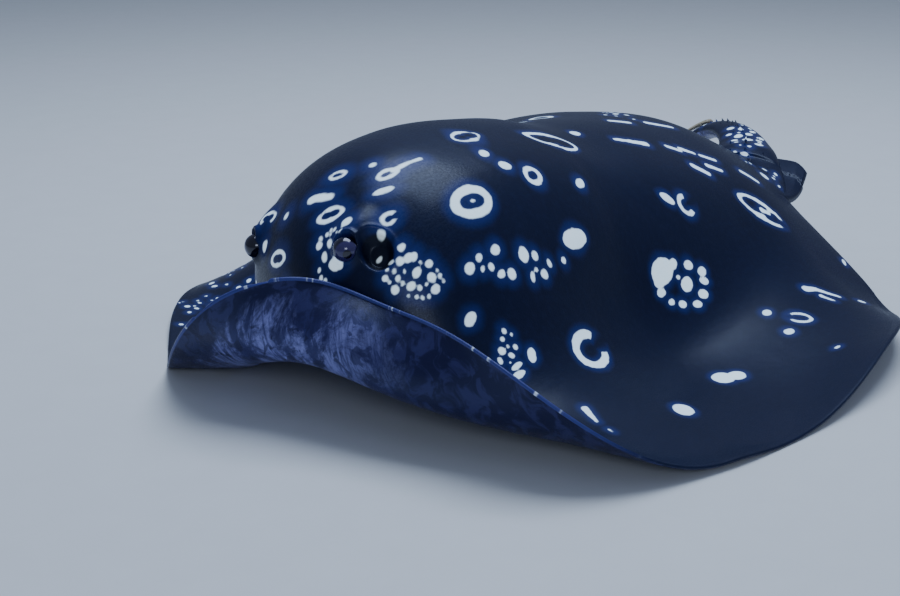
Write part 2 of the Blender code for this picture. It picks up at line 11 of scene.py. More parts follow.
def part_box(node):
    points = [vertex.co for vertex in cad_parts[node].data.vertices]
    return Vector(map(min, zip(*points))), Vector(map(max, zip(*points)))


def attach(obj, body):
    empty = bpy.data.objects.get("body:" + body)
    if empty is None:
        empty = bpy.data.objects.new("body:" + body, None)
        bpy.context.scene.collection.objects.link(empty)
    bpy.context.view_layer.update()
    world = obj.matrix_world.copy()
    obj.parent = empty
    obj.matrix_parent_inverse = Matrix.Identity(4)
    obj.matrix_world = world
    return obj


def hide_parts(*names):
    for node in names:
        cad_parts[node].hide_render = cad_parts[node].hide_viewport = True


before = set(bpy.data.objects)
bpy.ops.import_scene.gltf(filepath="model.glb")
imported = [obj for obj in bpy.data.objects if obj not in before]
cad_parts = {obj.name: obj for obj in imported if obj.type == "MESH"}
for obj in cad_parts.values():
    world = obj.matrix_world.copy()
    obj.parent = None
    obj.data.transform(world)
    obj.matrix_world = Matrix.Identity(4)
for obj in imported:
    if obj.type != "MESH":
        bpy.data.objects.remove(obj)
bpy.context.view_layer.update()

# Driving dimensions, metres. x runs forward to the snout, y to the animal's left.
DISC_WIDTH = 0.55
DISC_LENGTH = 1.06 * DISC_WIDTH
RIM_POWER = 2.12  # 2 would be an ellipse; more is squarer
SNOUT_KNOB = 0.014 * DISC_WIDTH  # small point at the front of the disc
KNOB_SPREAD = math.radians(7)
RIM_THICKNESS = 0.004 * DISC_WIDTH

TRUNK_HEIGHT = 0.130 * DISC_WIDTH  # back above the belly, at the thickest
TRUNK_SPREAD = 0.17 * DISC_WIDTH
TRUNK_MIDDLE = 0.03 * DISC_WIDTH
TRUNK_FRONT = 0.30 * DISC_WIDTH
TRUNK_REAR = 0.42 * DISC_WIDTH
FRONT_POWER = 4  # how squarely the trunk ends in front
REAR_POWER = 2.6
SIDE_POWER = 2.6
FIN_MUSCLE = 0.034 * DISC_WIDTH
FIN_POWER = 0.8

EYE_X = 0.288 * DISC_WIDTH
EYE_Y = 0.062 * DISC_WIDTH
EYE_RADIUS = 0.0150 * DISC_WIDTH
EYE_PROUD = 0.004 * DISC_WIDTH  # eye's centre above the plain back
SPIRACLE_X = EYE_X - 0.014 * DISC_WIDTH
SPIRACLE_Y = EYE_Y + 0.021 * DISC_WIDTH

TAIL_START = -0.44 * DISC_WIDTH  # where the spine leaves the disc's own bend
TAIL_LENGTH = 0.72 * DISC_WIDTH

# The strip from snout to tail tip, between the fins.
NOSE = DISC_LENGTH / 2 + SNOUT_KNOB
HEAD_BACK = 0.16 * DISC_WIDTH  # the head's rear border
HALF_WIDEST = 0.05 * DISC_WIDTH
TRUNK_HALF = 0.165 * DISC_WIDTH
SNOUT_DRAW = 0.115 * DISC_WIDTH  # how much narrower the strip is at the snout
PELVIS_X = -0.46 * DISC_WIDTH
PELVIS_HALF = 0.078 * DISC_WIDTH
TAIL_TIP = TAIL_START - TAIL_LENGTH
TIP_HALF = 0.002 * DISC_WIDTH
TAIL_HALF = 0.030 * DISC_WIDTH  # what the whip's own taper adds to TIP_HALF at the root
ROOT_FLARE = 0.046 * DISC_WIDTH  # what the flare that joins it to the trunk adds there
TAIL_THIN = 0.9  # powers that shape the taper and the flare
FLARE_POWER = 5
TIP_HEIGHT = 0.003 * DISC_WIDTH
TAIL_TALL = 0.030 * DISC_WIDTH
ROOT_TALL = 0.024 * DISC_WIDTH
TALL_POWER = 4
TAIL_SKIN = 0.0015 * DISC_WIDTH  # least thickness of a tail section's sides
SECTION_START = 0.40 * DISC_WIDTH  # behind the centre, the trunk turns into the tail's oval
SECTION_END = 0.58 * DISC_WIDTH
PLATE = 0.006 * DISC_WIDTH  # thickness of a pelvic fin, fading out behind it
PLATE_ENDS = -0.62 * DISC_WIDTH
PLATE_FULL = -0.55 * DISC_WIDTH
REAR_ANGLE = math.radians(168)  # where the pectoral fins end
REAR_ROUNDING = 0.10  # how far their rear corners are rounded off
ROUNDING_START = 0.88  # from this share of the way back

# Pelvic fins: a round lobe beside the tail root.
PELVIC_REAR = -0.56 * DISC_WIDTH
PELVIC_X = -0.48 * DISC_WIDTH
PELVIC_Y = 0.048 * DISC_WIDTH
PELVIC_RADIUS = 0.078 * DISC_WIDTH
PELVIC_FIRST = math.radians(146)
PELVIC_LAST = math.radians(172)

# Tail fittings.
FOLD_START = -0.86 * DISC_WIDTH
FOLD_HEIGHT = 0.011 * DISC_WIDTH
FOLD_FADE = 0.10 * DISC_WIDTH
STING_START = -0.76 * DISC_WIDTH
STING_LENGTH = 0.12 * DISC_WIDTH

# Small forms.
ORBIT_RADII = (0.034 * DISC_WIDTH, 0.027 * DISC_WIDTH, 0.014 * DISC_WIDTH)
ORBIT_BEHIND = 0.008 * DISC_WIDTH  # the orbit's middle lies behind the eye's
SPIRACLE_RADII = (0.020 * DISC_WIDTH, 0.023 * DISC_WIDTH, 0.014 * DISC_WIDTH)
NOSTRIL_X = 0.275 * DISC_WIDTH
NOSTRIL_Y = 0.032 * DISC_WIDTH
NOSTRIL_RADII = (0.006 * DISC_WIDTH, 0.008 * DISC_WIDTH, 0.004 * DISC_WIDTH)
MOUTH_X = 0.240 * DISC_WIDTH
MOUTH_RADII = (0.007 * DISC_WIDTH, 0.044 * DISC_WIDTH, 0.006 * DISC_WIDTH)
GILL_PAIRS = 5
GILL_FIRST_X = 0.135 * DISC_WIDTH
GILL_FIRST_Y = 0.110 * DISC_WIDTH
GILL_STEP = 0.036 * DISC_WIDTH
GILL_DRAW = 0.008 * DISC_WIDTH
GILL_RADII = (0.004 * DISC_WIDTH, 0.013 * DISC_WIDTH, 0.004 * DISC_WIDTH)
THORN_FIRST = -0.47 * DISC_WIDTH
THORN_STEP = 0.024 * DISC_WIDTH
THORN_HEIGHT = 0.010 * DISC_WIDTH
THORN_RADIUS = 0.0055 * DISC_WIDTH
THORN_ROOT = 0.004 * DISC_WIDTH
THORN_RAKE = 35
SIDE_THORN = 0.7  # size of the side rows' thorns to the middle row's
THORN_SPREAD = 0.45  # side rows' place, as a share of the half width
THORN_CLEAR = 0.014 * DISC_WIDTH  # left free at the ends of the tail's lengths
FOLD_FIRST = -0.95 * DISC_WIDTH
FOLD_LAST = -1.14 * DISC_WIDTH
FOLD_THICKNESS = 0.0015
STING_WIDTH = 0.013 * DISC_WIDTH
STING_POINT = 0.002 * DISC_WIDTH
STING_DEPTH = 0.007 * DISC_WIDTH
STING_RISE = 0.012 * DISC_WIDTH
STING_TAPER = 0.6
STING_POINT_DEPTH = 0.2  # depth at the point, as a share

GAP = 0.0003  # left between the sting and the tail
PROBE = 1e-4  # step used to find the surface's direction
TAIL_STEPS = 200
TAIL_BLEND = 0.12 * DISC_WIDTH
TAIL_SPREAD = 0.9  # how much later the fins take up the tail's bend
FLAT_SHARE = 0.8  # how much of its thickness a rim keeps on the floor

# Pose. The flat sheet leans at its centre and is turned by folds. Each fold is
# centred on a ray, fades out to its sides, and turns the sheet between two
# shares of the way out. Rays and turns are degrees; a ray of 0 is the snout, 90
# the left fin. A turn above 0 bends the sheet down, below 0 up.
FOLDS = (
    # ray, reach, start, end, turn
    (0, 80, 0.33, 0.65, 65),  # head, falling away in front of the eyes
    (10, 65, 0.60, 0.86, -50),  # front belly, laid on the floor
    (22, 54, 0.69, 0.98, -152),  # front left margin, standing up as a wall
    (80, 60, 0.05, 0.35, 12),  # left flank
    (95, 70, 0.45, 0.70, -30),  # left fin, laid flat
    (80, 40, 0.85, 1.00, -20),  # its margin, lifted a little
    (118, 34, 0.75, 0.95, -30),  # left rear margin, lifted more
    (185, 90, 0.00, 0.30, -20),  # hind back, running out level
    (190, 75, 0.60, 1.00, 45),  # rear margin, drooping
    (295, 85, 0.00, 0.40, 40),  # right shoulder
    (325, 50, 0.00, 0.30, 14),  # right side of the head
    (252, 75, 0.45, 0.80, 47),  # right fin, hanging down behind
    (322, 45, 0.45, 0.65, 16),  # front right, folded down
    (320, 45, 0.68, 0.82, -72),  # its flap, laid flat on the floor
)
LEAN_FORWARD = math.radians(-13)
LEAN_LEFT = math.radians(22)
CENTRE_HEIGHT = 0.141 * DISC_WIDTH
TAIL_TURN = np.radians((10, 34, 58, 78, 85, 75, 55))  # towards the right, root to tip
TAIL_FALL = np.radians((30, -10, -5, 30, 41, 5, 0))
BEND_STEPS = 32


def through(before, start, end, after, share):
    """A smooth curve through evenly spaced values, between start and end."""
    cubic = 3 * (start - end) + after - before
    square = 2 * before - 5 * start + 4 * end - after
    return start + 0.5 * share * (end - before + share * (square + share * cubic))


def smooth_step(value, low, high):
    """0 at low and 1 at high, with a soft start and end."""
    share = np.clip((value - low) / (high - low), 0, 1)
    return share * share * (3 - 2 * share)


def rim(angle):
    """Distance from the centre to the disc's edge; angle 0 is the snout, growing to the left."""
    across = np.abs(np.sin(angle)) / (DISC_WIDTH / 2)
    along = np.abs(np.cos(angle)) / (DISC_LENGTH / 2)
    edge = (across ** RIM_POWER + along ** RIM_POWER) ** (-1 / RIM_POWER)
    off_snout = (angle + np.pi) % (2 * np.pi) - np.pi
    return edge + SNOUT_KNOB * np.exp(-0.5 * (off_snout / KNOB_SPREAD) ** 2)


def fold_weights(angle):
    """How strongly each fold acts along the ray in each direction: 1 on its own ray."""
    rays, reaches = np.array([fold[:2] for fold in FOLDS]).T
    off = (np.degrees(angle)[:, None] - rays + 180) % 360 - 180
    return 0.5 + 0.5 * np.cos(np.pi * np.clip(off / reaches, -1, 1))


def bent_sheet(x, y):
    """Where points of the flat underside lie in the pose."""
    angle = np.arctan2(y, x)
    reach = np.hypot(x, y)
    share = np.minimum(reach / rim(angle), 1)
    lean = LEAN_FORWARD * np.cos(angle) + LEAN_LEFT * np.sin(angle)
    turns = fold_weights(angle) * np.radians([fold[4] for fold in FOLDS])
    out = np.zeros(len(x))
    down = np.zeros(len(x))
    for step in range(BEND_STEPS):
        spot = (step + 0.5) / BEND_STEPS * share
        slope = lean.copy()
        for column, (_, _, start, end, _) in enumerate(FOLDS):
            slope += turns[:, column] * smooth_step(spot, start, end)
        out += np.cos(slope)
        down += np.sin(slope)
    out *= reach / BEND_STEPS
    down *= reach / BEND_STEPS
    return np.column_stack((out * np.cos(angle), out * np.sin(angle), CENTRE_HEIGHT - down))


def tail_line():
    """The tail's middle line in the pose: a point, its left and its up at each small step."""
    count = TAIL_STEPS
    spot = (np.arange(count) + 0.5) / count * (len(TAIL_TURN) - 1)
    low = np.minimum(spot.astype(int), len(TAIL_TURN) - 2)
    table = []
    for angles in (TAIL_TURN, TAIL_FALL):
        ends = np.concatenate(([2 * angles[0] - angles[1]], angles, [2 * angles[-1] - angles[-2]]))
        table.append(through(*(ends[low + shift] for shift in range(4)), spot - low))
    turn, fall = table
    level = np.cos(fall)
    heading = np.column_stack((-np.cos(turn) * level, -np.sin(turn) * level, -np.sin(fall)))
    start = bent_sheet(np.array([TAIL_START]), np.zeros(1))
    points = np.vstack((start, start + np.cumsum(heading, axis=0) * TAIL_LENGTH / count))
    heading = np.vstack((heading[:1], heading))
    left = np.cross(heading, (0, 0, 1))
    left /= np.linalg.norm(left, axis=1)[:, None]
    return points, left, np.cross(left, heading)


def place(x, y, lift):
    """Pose points of the straight, flat animal; lift is the height above its underside."""
    shape = np.broadcast_shapes(np.shape(x), np.shape(y), np.shape(lift))
    x, y, lift = (np.broadcast_to(value, shape).astype(float).ravel() for value in (x, y, lift))
    sheet = bent_sheet(x, y)
    normal = np.cross(bent_sheet(x + PROBE, y) - sheet, bent_sheet(x, y + PROBE) - sheet)
    normal /= np.linalg.norm(normal, axis=1)[:, None]
    disc = sheet + normal * lift[:, None]
    along = np.clip((TAIL_START - x) / TAIL_LENGTH, 0, 1) * TAIL_STEPS
    low = np.minimum(along.astype(int), TAIL_STEPS - 1)
    share = (along - low)[:, None]
    point, left, up = (part[low] * (1 - share) + part[low + 1] * share for part in TAIL_FRAME)
    tail = point + left * y[:, None] + up * lift[:, None]
    late = TAIL_SPREAD * np.maximum(np.abs(y) - PELVIS_HALF, 0)
    on_tail = smooth_step(TAIL_START - x - late, 0, TAIL_BLEND)[:, None]
    posed = disc * (1 - on_tail) + tail * on_tail
    posed[:, 2] = np.maximum(posed[:, 2], FLAT_SHARE * np.minimum(lift, RIM_THICKNESS))
    return posed.reshape(shape + (3,))


def half_width(x):
    """Half the width of the head, trunk and tail, between the fins."""
    front = TRUNK_HALF - SNOUT_DRAW * (np.maximum(x - HALF_WIDEST, 0) / (NOSE - HALF_WIDEST)) ** 2
    rear = PELVIS_HALF + (TRUNK_HALF - PELVIS_HALF) * smooth_step(x, PELVIS_X, HALF_WIDEST)
    left_over = np.clip((x - TAIL_TIP) / (PELVIS_X - TAIL_TIP), 0, 1)
    tail = TIP_HALF + TAIL_HALF * left_over ** TAIL_THIN + ROOT_FLARE * left_over ** FLARE_POWER
    return np.where(x > HALF_WIDEST, front, np.where(x > PELVIS_X, rear, tail))


def tail_height(x):
    """Height of the tail's oval section."""
    left_over = np.clip((x - TAIL_TIP) / (PELVIS_X - TAIL_TIP), 0, 1)
    return TIP_HEIGHT + TAIL_TALL * left_over ** TAIL_THIN + ROOT_TALL * left_over ** TALL_POWER


def disc_height(x, y):
    """Height of the back above the underside in the disc: trunk and fin muscle."""
    front = x > TRUNK_MIDDLE
    spread = np.where(front, TRUNK_FRONT, TRUNK_REAR)
    power = np.where(front, FRONT_POWER, REAR_POWER)
    trunk = TRUNK_HEIGHT * np.exp(-np.abs((x - TRUNK_MIDDLE) / spread) ** power)
    trunk = trunk * np.exp(-np.abs(y / TRUNK_SPREAD) ** SIDE_POWER)
    share = np.hypot(2 * x / DISC_LENGTH, 2 * y / DISC_WIDTH)
    fin = FIN_MUSCLE * np.clip(1 - share, 0, 1) ** FIN_POWER + RIM_THICKNESS
    return np.hypot(trunk, fin)


def tail_share(x):
    """0 where the section is the disc's, 1 where it is the tail's oval."""
    return smooth_step(-x, SECTION_START, SECTION_END)


def oval(x, y):
    """Height share of the tail's oval section: 1 on the middle line, 0 at its sides."""
    return np.sqrt(np.clip(1 - (y / half_width(x)) ** 2, 0, 1))


def fold_lift(x):
    """How far the lower finfold holds the tail's end off its own lower edge."""
    return FOLD_HEIGHT * smooth_step(-x, -FOLD_START, -FOLD_START + FOLD_FADE)


def under_height(x, y):
    """Height of the underside: 0 in the disc, rounded up at the sides of the tail."""
    height = tail_height(x)
    return tail_share(x) * (0.5 * height * (1 - oval(x, y)) + fold_lift(x))


def back_height(x, y):
    """Height of the back over the whole animal."""
    height = tail_height(x)
    plate = PLATE * smooth_step(x, PLATE_ENDS, PLATE_FULL)
    tail = 0.5 * height * (1 + oval(x, y)) + plate + TAIL_SKIN + fold_lift(x)
    share = tail_share(x)
    return disc_height(x, y) * (1 - share) + tail * share


def front_edge(y):
    """How far forward the disc reaches at each distance from the middle line."""
    plain = DISC_LENGTH / 2 * (1 - np.abs(2 * y / DISC_WIDTH) ** RIM_POWER) ** (1 / RIM_POWER)
    return plain + SNOUT_KNOB * np.exp(-0.5 * (y / DISC_LENGTH * 2 / KNOB_SPREAD) ** 2)


def strip_point(station, across):
    """A point of the strip from snout to tail tip; across runs from -1 to 1."""
    y = across * half_width(station)
    ahead = np.clip((station - HEAD_BACK) / (NOSE - HEAD_BACK), 0, 1)
    return station + ahead * (front_edge(y) - NOSE), y


def fin_rows(inner_x, inner_y, outer_x, outer_y, outward, side):
    """Points of a fin's rows, each a straight line from its inner to its outer end."""
    out = np.asarray(outward)[None, :]
    x = inner_x[:, None] * (1 - out) + outer_x[:, None] * out
    y = inner_y[:, None] * (1 - out) + outer_y[:, None] * out
    return x, y * side


def pectoral_points(stations, outward, side):
    """A pectoral fin's rows, each a straight line from the strip's side out to the rim."""
    inner_x, inner_y = strip_point(stations, 1.0)
    corner_x, corner_y = strip_point(NOSE, 1.0)
    first = math.atan2(corner_y, corner_x)
    share = (stations[-1] - stations) / (stations[-1] - stations[0])
    angle = first + (REAR_ANGLE - first) * share
    late = np.clip((share - ROUNDING_START) / (1 - ROUNDING_START), 0, 1)
    reach = rim(angle) * (1 - REAR_ROUNDING * late ** 2)
    outer_x, outer_y = reach * np.cos(angle), reach * np.sin(angle)
    outer_x[-1], outer_y[-1] = inner_x[-1], inner_y[-1]
    return fin_rows(inner_x, inner_y, outer_x, outer_y, outward, side)


def pelvic_points(stations, outward, side):
    """A pelvic fin's rows, from the tail root out to a rounded edge."""
    inner_x, inner_y = strip_point(stations, 1.0)
    share = (stations[-1] - stations) / (stations[-1] - stations[0])
    angle = PELVIC_FIRST + (PELVIC_LAST - PELVIC_FIRST) * share
    outer_x = PELVIC_X + PELVIC_RADIUS * np.cos(angle)
    outer_y = PELVIC_Y + PELVIC_RADIUS * np.sin(angle)
    return fin_rows(inner_x, inner_y, outer_x, outer_y, outward, side)


# The skin's own detail and the camera
PITCH = 0.0013  # spacing of the skin's points
FAR_PITCH = 0.0020  # on the right fin
TAIL_PITCH = 2 * PITCH
ROOT_PITCH = 1.5 * PITCH  # beside the pelvic fins, and on them
FACE_ROWS = (0.06 * DISC_WIDTH, 2.0)  # how far round the eyes rows are closer, how many times
FLANK_COLUMNS = ((-0.42, 0.22, 1.8), (0.42, 0.22, 1.8))  # columns: middle, spread, how many times
SPACING_SAMPLES = 4000
ORBIT_X = EYE_X - ORBIT_BEHIND
ORBIT_Y = EYE_Y - 0.003 * DISC_WIDTH
ORBIT_SHARE = 0.75  # of the solids' orbit, which the lids and rims add to
ORBIT_REACH = 1.3  # in radii of the solids' orbit
STRETCH_X = 1.65  # how much the arched back stretches the skin at the eyes
STRETCH_Y = 1.4
LID = 0.0022  # height of the lid's ridge
LID_AT, LID_WIDTH = 1.02, 0.2  # its place and width, in eye radii
SOCKET_DEPTH = 0.9 * EYE_RADIUS  # below the eye's centre
SOCKET_WALL = (0.76, 0.92)  # in eye radii
SPIRACLE_DEPTH = 0.010 * DISC_WIDTH
SPIRACLE_WALL = (0.5, 1.05)  # in spiracle radii, as the next three are
SPIRACLE_CLEAR = (0.8, 1.2)  # where the orbit's swell dies out
SPIRACLE_RIM_AT, SPIRACLE_RIM_WIDTH = 1.12, 0.14
SPIRACLE_SHADE = (0.75, 1.08)  # where the painted shade inside its hollow turns into skin
SPIRACLE_RIM = 0.4 * LID
GROOVE_REACH = 1.3  # of nostrils, gills and the mouth's length, in the solids' own
MOUTH_REACH = 1.1
EDGE_OUT = 0.35  # how far the rim bulges, as a share of its thickness
EDGE_LOW = 0.0004  # least height of its middle line
THORN_SEED = 31
THORN_CLOSER = 0.7  # spacing, as a share of the solids' thorns
THORN_LEAST = 0.7  # least size, likewise
THORN_LOW = 0.5  # how much of its size a thorn stands up
THORN_GRID = (6, 11)  # rows up and points round
THORN_TAPER, THORN_HOLLOW, THORN_BEND = 0.93, 1.2, 1.5  # how it narrows and leans
FINFOLD_ROWS = 110
FINFOLD_SWELL = 0.5
FINFOLD_FOOT = 0.002  # how deep it is set in the tail
FINFOLD_LEVEL = (0, 0.35, 0.7, 1, 0.7, 0.35, 0)  # up one side and down the other
FINFOLD_SIDE = (1, 0.8, 0.5, 0, -0.5, -0.8, -1)
STING_ROWS = 241
STING_BARBS = 26
BARB_DEPTH = 0.22
BARBS_BEGIN = (0.12, 0.25)  # along the sting, where they grow to full size
BARB_EDGE = 0.5  # they cut into the width outside this share of it
STING_ACROSS = (-1, -0.8, -0.45, -0.15, 0, 0.15, 0.45, 0.8, 1, 0.6, 0, -0.6, -1)
STING_LEVEL = (0.35, 0.6, 0.95, 1, 0.82, 1, 0.95, 0.6, 0.35, 0, 0, 0, 0.35)
EYE_GRID = (49, 25)  # points round and from pole to pole
EYE_LOOK = (0.4, 0.8, 0.45)  # where a pupil points, in the eye's own axes
PAINTED_MARK_GLOW = 0.62  # strength of the painted glow: light that the pale marks give off themselves
MARK_WANDER = 0.0016  # how unevenly a mark's edge runs
PAINTED_HALO_REACH, PAINTED_HALO_SHARE = 0.0065, 0.32  # the painted blue glow of light round a mark
RIM_HIGHLIGHT_WIDTH = 0.0005  # width of the painted highlight line along the curled rim
BELLY_BORDER = (0.030, 0.060)  # the dark margin below turns lilac between these
CURL_RAY = 22  # the curled margin's middle and reach, in degrees
CURL_REACH = 44
CURL_FADE = 0.7  # where it starts to fade, as a share of its reach
LIT_RAYS = (CURL_RAY - 10, CURL_RAY + 15)  # the curled belly's light side ends between these
OFF_DISC = 0.05  # stands for a distance from the rim on the tail
FLOOR_HALF = 6
CAMERA_SPOT = (1.295, 1.350, 0.660)  # in disc widths from under the disc's middle
CAMERA_YAW = -131.5
CAMERA_PITCH = -18
CAMERA_LENS = 60
SKY = ((0.60, 0.72, 0.95, 1), 0.30)
LIGHTS = (
    # name, place, aim, size, power, colour
    ("soft_top", (-0.3, -0.2, 1.7), (0, 0, 0), (1.3, 1.1), 30, (0.72, 0.84, 1.0)),
    ("soft_front", (1.4, 1.6, 0.9), (0.1, 0.1, 0.05), (0.8, 0.5), 7, (0.80, 0.88, 1.0)),
)
FLOOR_COLOUR = (0.72, 0.75, 0.80)
FLOOR_DARKER = 0.93  # its darker grain, as a share


def spaced(first, last, pitch, dense=()):
    """Values about a pitch apart, closer inside each zone: its middle, spread and how many times."""
    fine = np.linspace(first, last, SPACING_SAMPLES)
    rate = np.ones_like(fine)
    for middle, spread, times in dense:
        rate += (times - 1) * np.exp(-np.abs((fine - middle) / spread) ** 4)
    along = np.concatenate(([0], np.cumsum((rate[1:] + rate[:-1]) / 2)))
    count = int(round(abs(last - first) / len(fine) * along[-1] / pitch))
    return np.interp(np.linspace(0, along[-1], count + 1), along, fine)


def eye_lift(side):
    """How far the eye's centre stands above the underside."""
    return float(back_height(np.array([EYE_X]), np.array([side * EYE_Y]))[0]) + EYE_PROUD


def bump(distance):
    """1 at the middle, falling softly to 0 at distance 1."""
    return np.clip(1 - distance ** 2, 0, 1) ** 2


def spiracle_gap(x, y):
    """Distance from a spiracle's middle, in its own radii."""
    off_x, off_y = STRETCH_X * (x - SPIRACLE_X), STRETCH_Y * (y - SPIRACLE_Y)
    return np.hypot(off_x / SPIRACLE_RADII[0], off_y / SPIRACLE_RADII[1])


def relief(x, y):
    """What the skin's back adds to the plain form: orbits, sockets, spiracles and their rims."""
    y = np.abs(y)
    ahead, aside = STRETCH_X * (x - ORBIT_X), STRETCH_Y * (y - ORBIT_Y)
    orbit = np.hypot(ahead / ORBIT_RADII[0], aside / ORBIT_RADII[1])
    lift = ORBIT_SHARE * ORBIT_RADII[2] * bump(orbit / ORBIT_REACH)
    eye = np.hypot(STRETCH_X * (x - EYE_X), STRETCH_Y * (y - EYE_Y)) / EYE_RADIUS
    lift = lift + LID * np.exp(-((eye - LID_AT) / LID_WIDTH) ** 2)
    hole = spiracle_gap(x, y)
    spiracle_rim = SPIRACLE_RIM * np.exp(-((hole - SPIRACLE_RIM_AT) / SPIRACLE_RIM_WIDTH) ** 2)
    lift = lift * smooth_step(hole, *SPIRACLE_CLEAR) + spiracle_rim
    lift = lift - SPIRACLE_DEPTH * (1 - smooth_step(hole, *SPIRACLE_WALL))
    socket = eye_lift(1) - SOCKET_DEPTH - back_height(x, y)
    inside = 1 - smooth_step(eye, *SOCKET_WALL)
    return lift * (1 - inside) + np.minimum(lift, socket) * inside


def skin_back(x, y):
    """Height of the skin's back."""
    return back_height(x, y) + relief(x, y)


def groove(x, y, spot_x, spot_y, radii, reach=(GROOVE_REACH, GROOVE_REACH)):
    """Height of a soft slit in the underside."""
    along, across = (x - spot_x) / (reach[0] * radii[0]), (y - spot_y) / (reach[1] * radii[1])
    return radii[2] * bump(np.hypot(along, across))


def skin_under(x, y):
    """The underside with its mouth, nostrils and gill slits."""
    aside = np.abs(y)
    lift = under_height(x, y) + groove(x, aside, MOUTH_X, 0, MOUTH_RADII, (GROOVE_REACH, MOUTH_REACH))
    lift = lift + groove(x, aside, NOSTRIL_X, NOSTRIL_Y, NOSTRIL_RADII)
    for pair in range(GILL_PAIRS):
        gill_x, gill_y = GILL_FIRST_X - pair * GILL_STEP, GILL_FIRST_Y - pair * GILL_DRAW
        lift = lift + groove(x, aside, gill_x, gill_y, GILL_RADII)
    return lift


def grid_faces(rows, columns, start=0):
    """The four corners of each face in a grid of points."""
    index = np.arange(rows * columns).reshape(rows, columns) + start
    corners = (index[:-1, :-1], index[1:, :-1], index[1:, 1:], index[:-1, 1:])
    return np.stack(corners, -1).reshape(-1, 4)


def gather(grids):
    """Grids of flat points as one list of points, joined where they meet, and its faces."""
    flats, quads, count = [], [], 0
    for x, y, flip in grids:
        faces = grid_faces(*x.shape, start=count)
        quads.append(faces[:, ::-1] if flip else faces)
        flats.append(np.column_stack((x.ravel(), y.ravel())))
        count += x.size
    flat, quads = np.concatenate(flats), np.concatenate(quads)
    places = np.round(flat, 7)
    _, first, index = np.unique(places, axis=0, return_index=True, return_inverse=True)
    return flat[first], index.reshape(-1)[quads]


def boundary(quads):
    """Edges that only one face uses, each in its face's direction."""
    ends = np.concatenate([quads[:, [k, (k + 1) % 4]] for k in range(4)])
    ends = ends[ends[:, 0] != ends[:, 1]]
    low, high = ends.min(axis=1), ends.max(axis=1)
    keys = low * (high.max() + 1) + high
    _, index, counts = np.unique(keys, return_inverse=True, return_counts=True)
    return ends[counts[index.reshape(-1)] == 1]


def thorn_rows(x, y, size):
    """A thorn's rows, from its foot in the skin to its point, which leans back."""
    rise = np.append(np.linspace(0, 1, THORN_GRID[0]), 1)[:, None]
    turn = np.linspace(0, 2 * np.pi, THORN_GRID[1])[None, :]
    wide = THORN_RADIUS * (1 - THORN_TAPER * rise) ** THORN_HOLLOW * size / THORN_HEIGHT
    wide[-1] = 0
    lean = math.sin(math.radians(THORN_RAKE)) * size * rise ** THORN_BEND
    at = x - lean + wide * np.cos(turn)
    foot = float(back_height(np.array([x]), np.array([y]))[0]) - THORN_ROOT
    return at, y + wide * np.sin(turn), foot + (THORN_LOW * size + THORN_ROOT) * rise + 0 * at


def tail_thorns():
    """Thorns along the tail: a middle row and smaller ones beside it, of uneven size."""
    rng = np.random.default_rng(THORN_SEED)
    stations = np.arange(THORN_FIRST, STING_START + THORN_CLEAR, -THORN_CLOSER * THORN_STEP)
    for number, x in enumerate(stations):
        for row in (-1, 0, 1):
            if row == 0 or number % 2 == 0:
                half = float(half_width(np.array([x]))[0])
                y = row * THORN_SPREAD * half * (0.85 + 0.3 * rng.random())
                size = THORN_HEIGHT * (SIDE_THORN if row else 1)
                yield thorn_rows(float(x), y, size * (THORN_LEAST + 0.3 * rng.random()))


def outward_turns(corner, edges, thick):
    """Unit vectors that point out of the sheet at its free edges' points."""
    along = corner[edges[:, 1]] - corner[edges[:, 0]]
    out = np.cross(along, thick[edges[:, 0]])
    total = np.zeros_like(corner)
    for end in (0, 1):
        np.add.at(total, edges[:, end], out)
    return total / np.maximum(np.linalg.norm(total, axis=1), 1e-12)[:, None]


def to_mesh(name, points, faces):
    """A smooth mesh object from point and face arrays; a repeated corner makes a triangle."""
    same = faces == np.roll(faces, -1, axis=1)
    whole = faces[~same.any(axis=1)]
    folded = faces[same.sum(axis=1) == 1]
    keep = ~same[same.sum(axis=1) == 1]
    triangles = folded[keep].reshape(-1, 3)
    corners = np.concatenate((whole.ravel(), triangles.ravel()))
    sizes = np.concatenate((np.full(len(whole), 4), np.full(len(triangles), 3)))
    data = bpy.data.meshes.new(name)
    data.vertices.add(len(points))
    data.vertices.foreach_set("co", np.asarray(points, np.float32).ravel())
    data.loops.add(len(corners))
    data.loops.foreach_set("vertex_index", corners.astype(np.int32))
    data.polygons.add(len(sizes))
    starts = np.concatenate(([0], np.cumsum(sizes)[:-1]))
    data.polygons.foreach_set("loop_start", starts.astype(np.int32))
    data.update(calc_edges=True)
    data.validate()
    data.shade_smooth()
    made = bpy.data.objects.new(name, data)
    bpy.context.scene.collection.objects.link(made)
    return made


def set_attribute(made, name, values):
    """A value, or a vector of three, at each point of a mesh."""
    values = np.asarray(values, np.float32)
    kind, field = ("FLOAT_VECTOR", "vector") if values.ndim == 2 else ("FLOAT", "value")
    layer = made.data.attributes.new(name, kind, "POINT")
    layer.data.foreach_set(field, values.ravel())


def strip_sheet(stations):
    """The strip's grid: even columns over the disc, closer at the sides of the tail."""
    even = spaced(-1, 1, PITCH / TRUNK_HALF, FLANK_COLUMNS)
    round_tail = np.sin(np.linspace(-np.pi / 2, np.pi / 2, len(even)))
    share = tail_share(stations)[:, None]
    across = even[None, :] * (1 - share) + round_tail[None, :] * share
    return strip_point(stations[:, None], across)


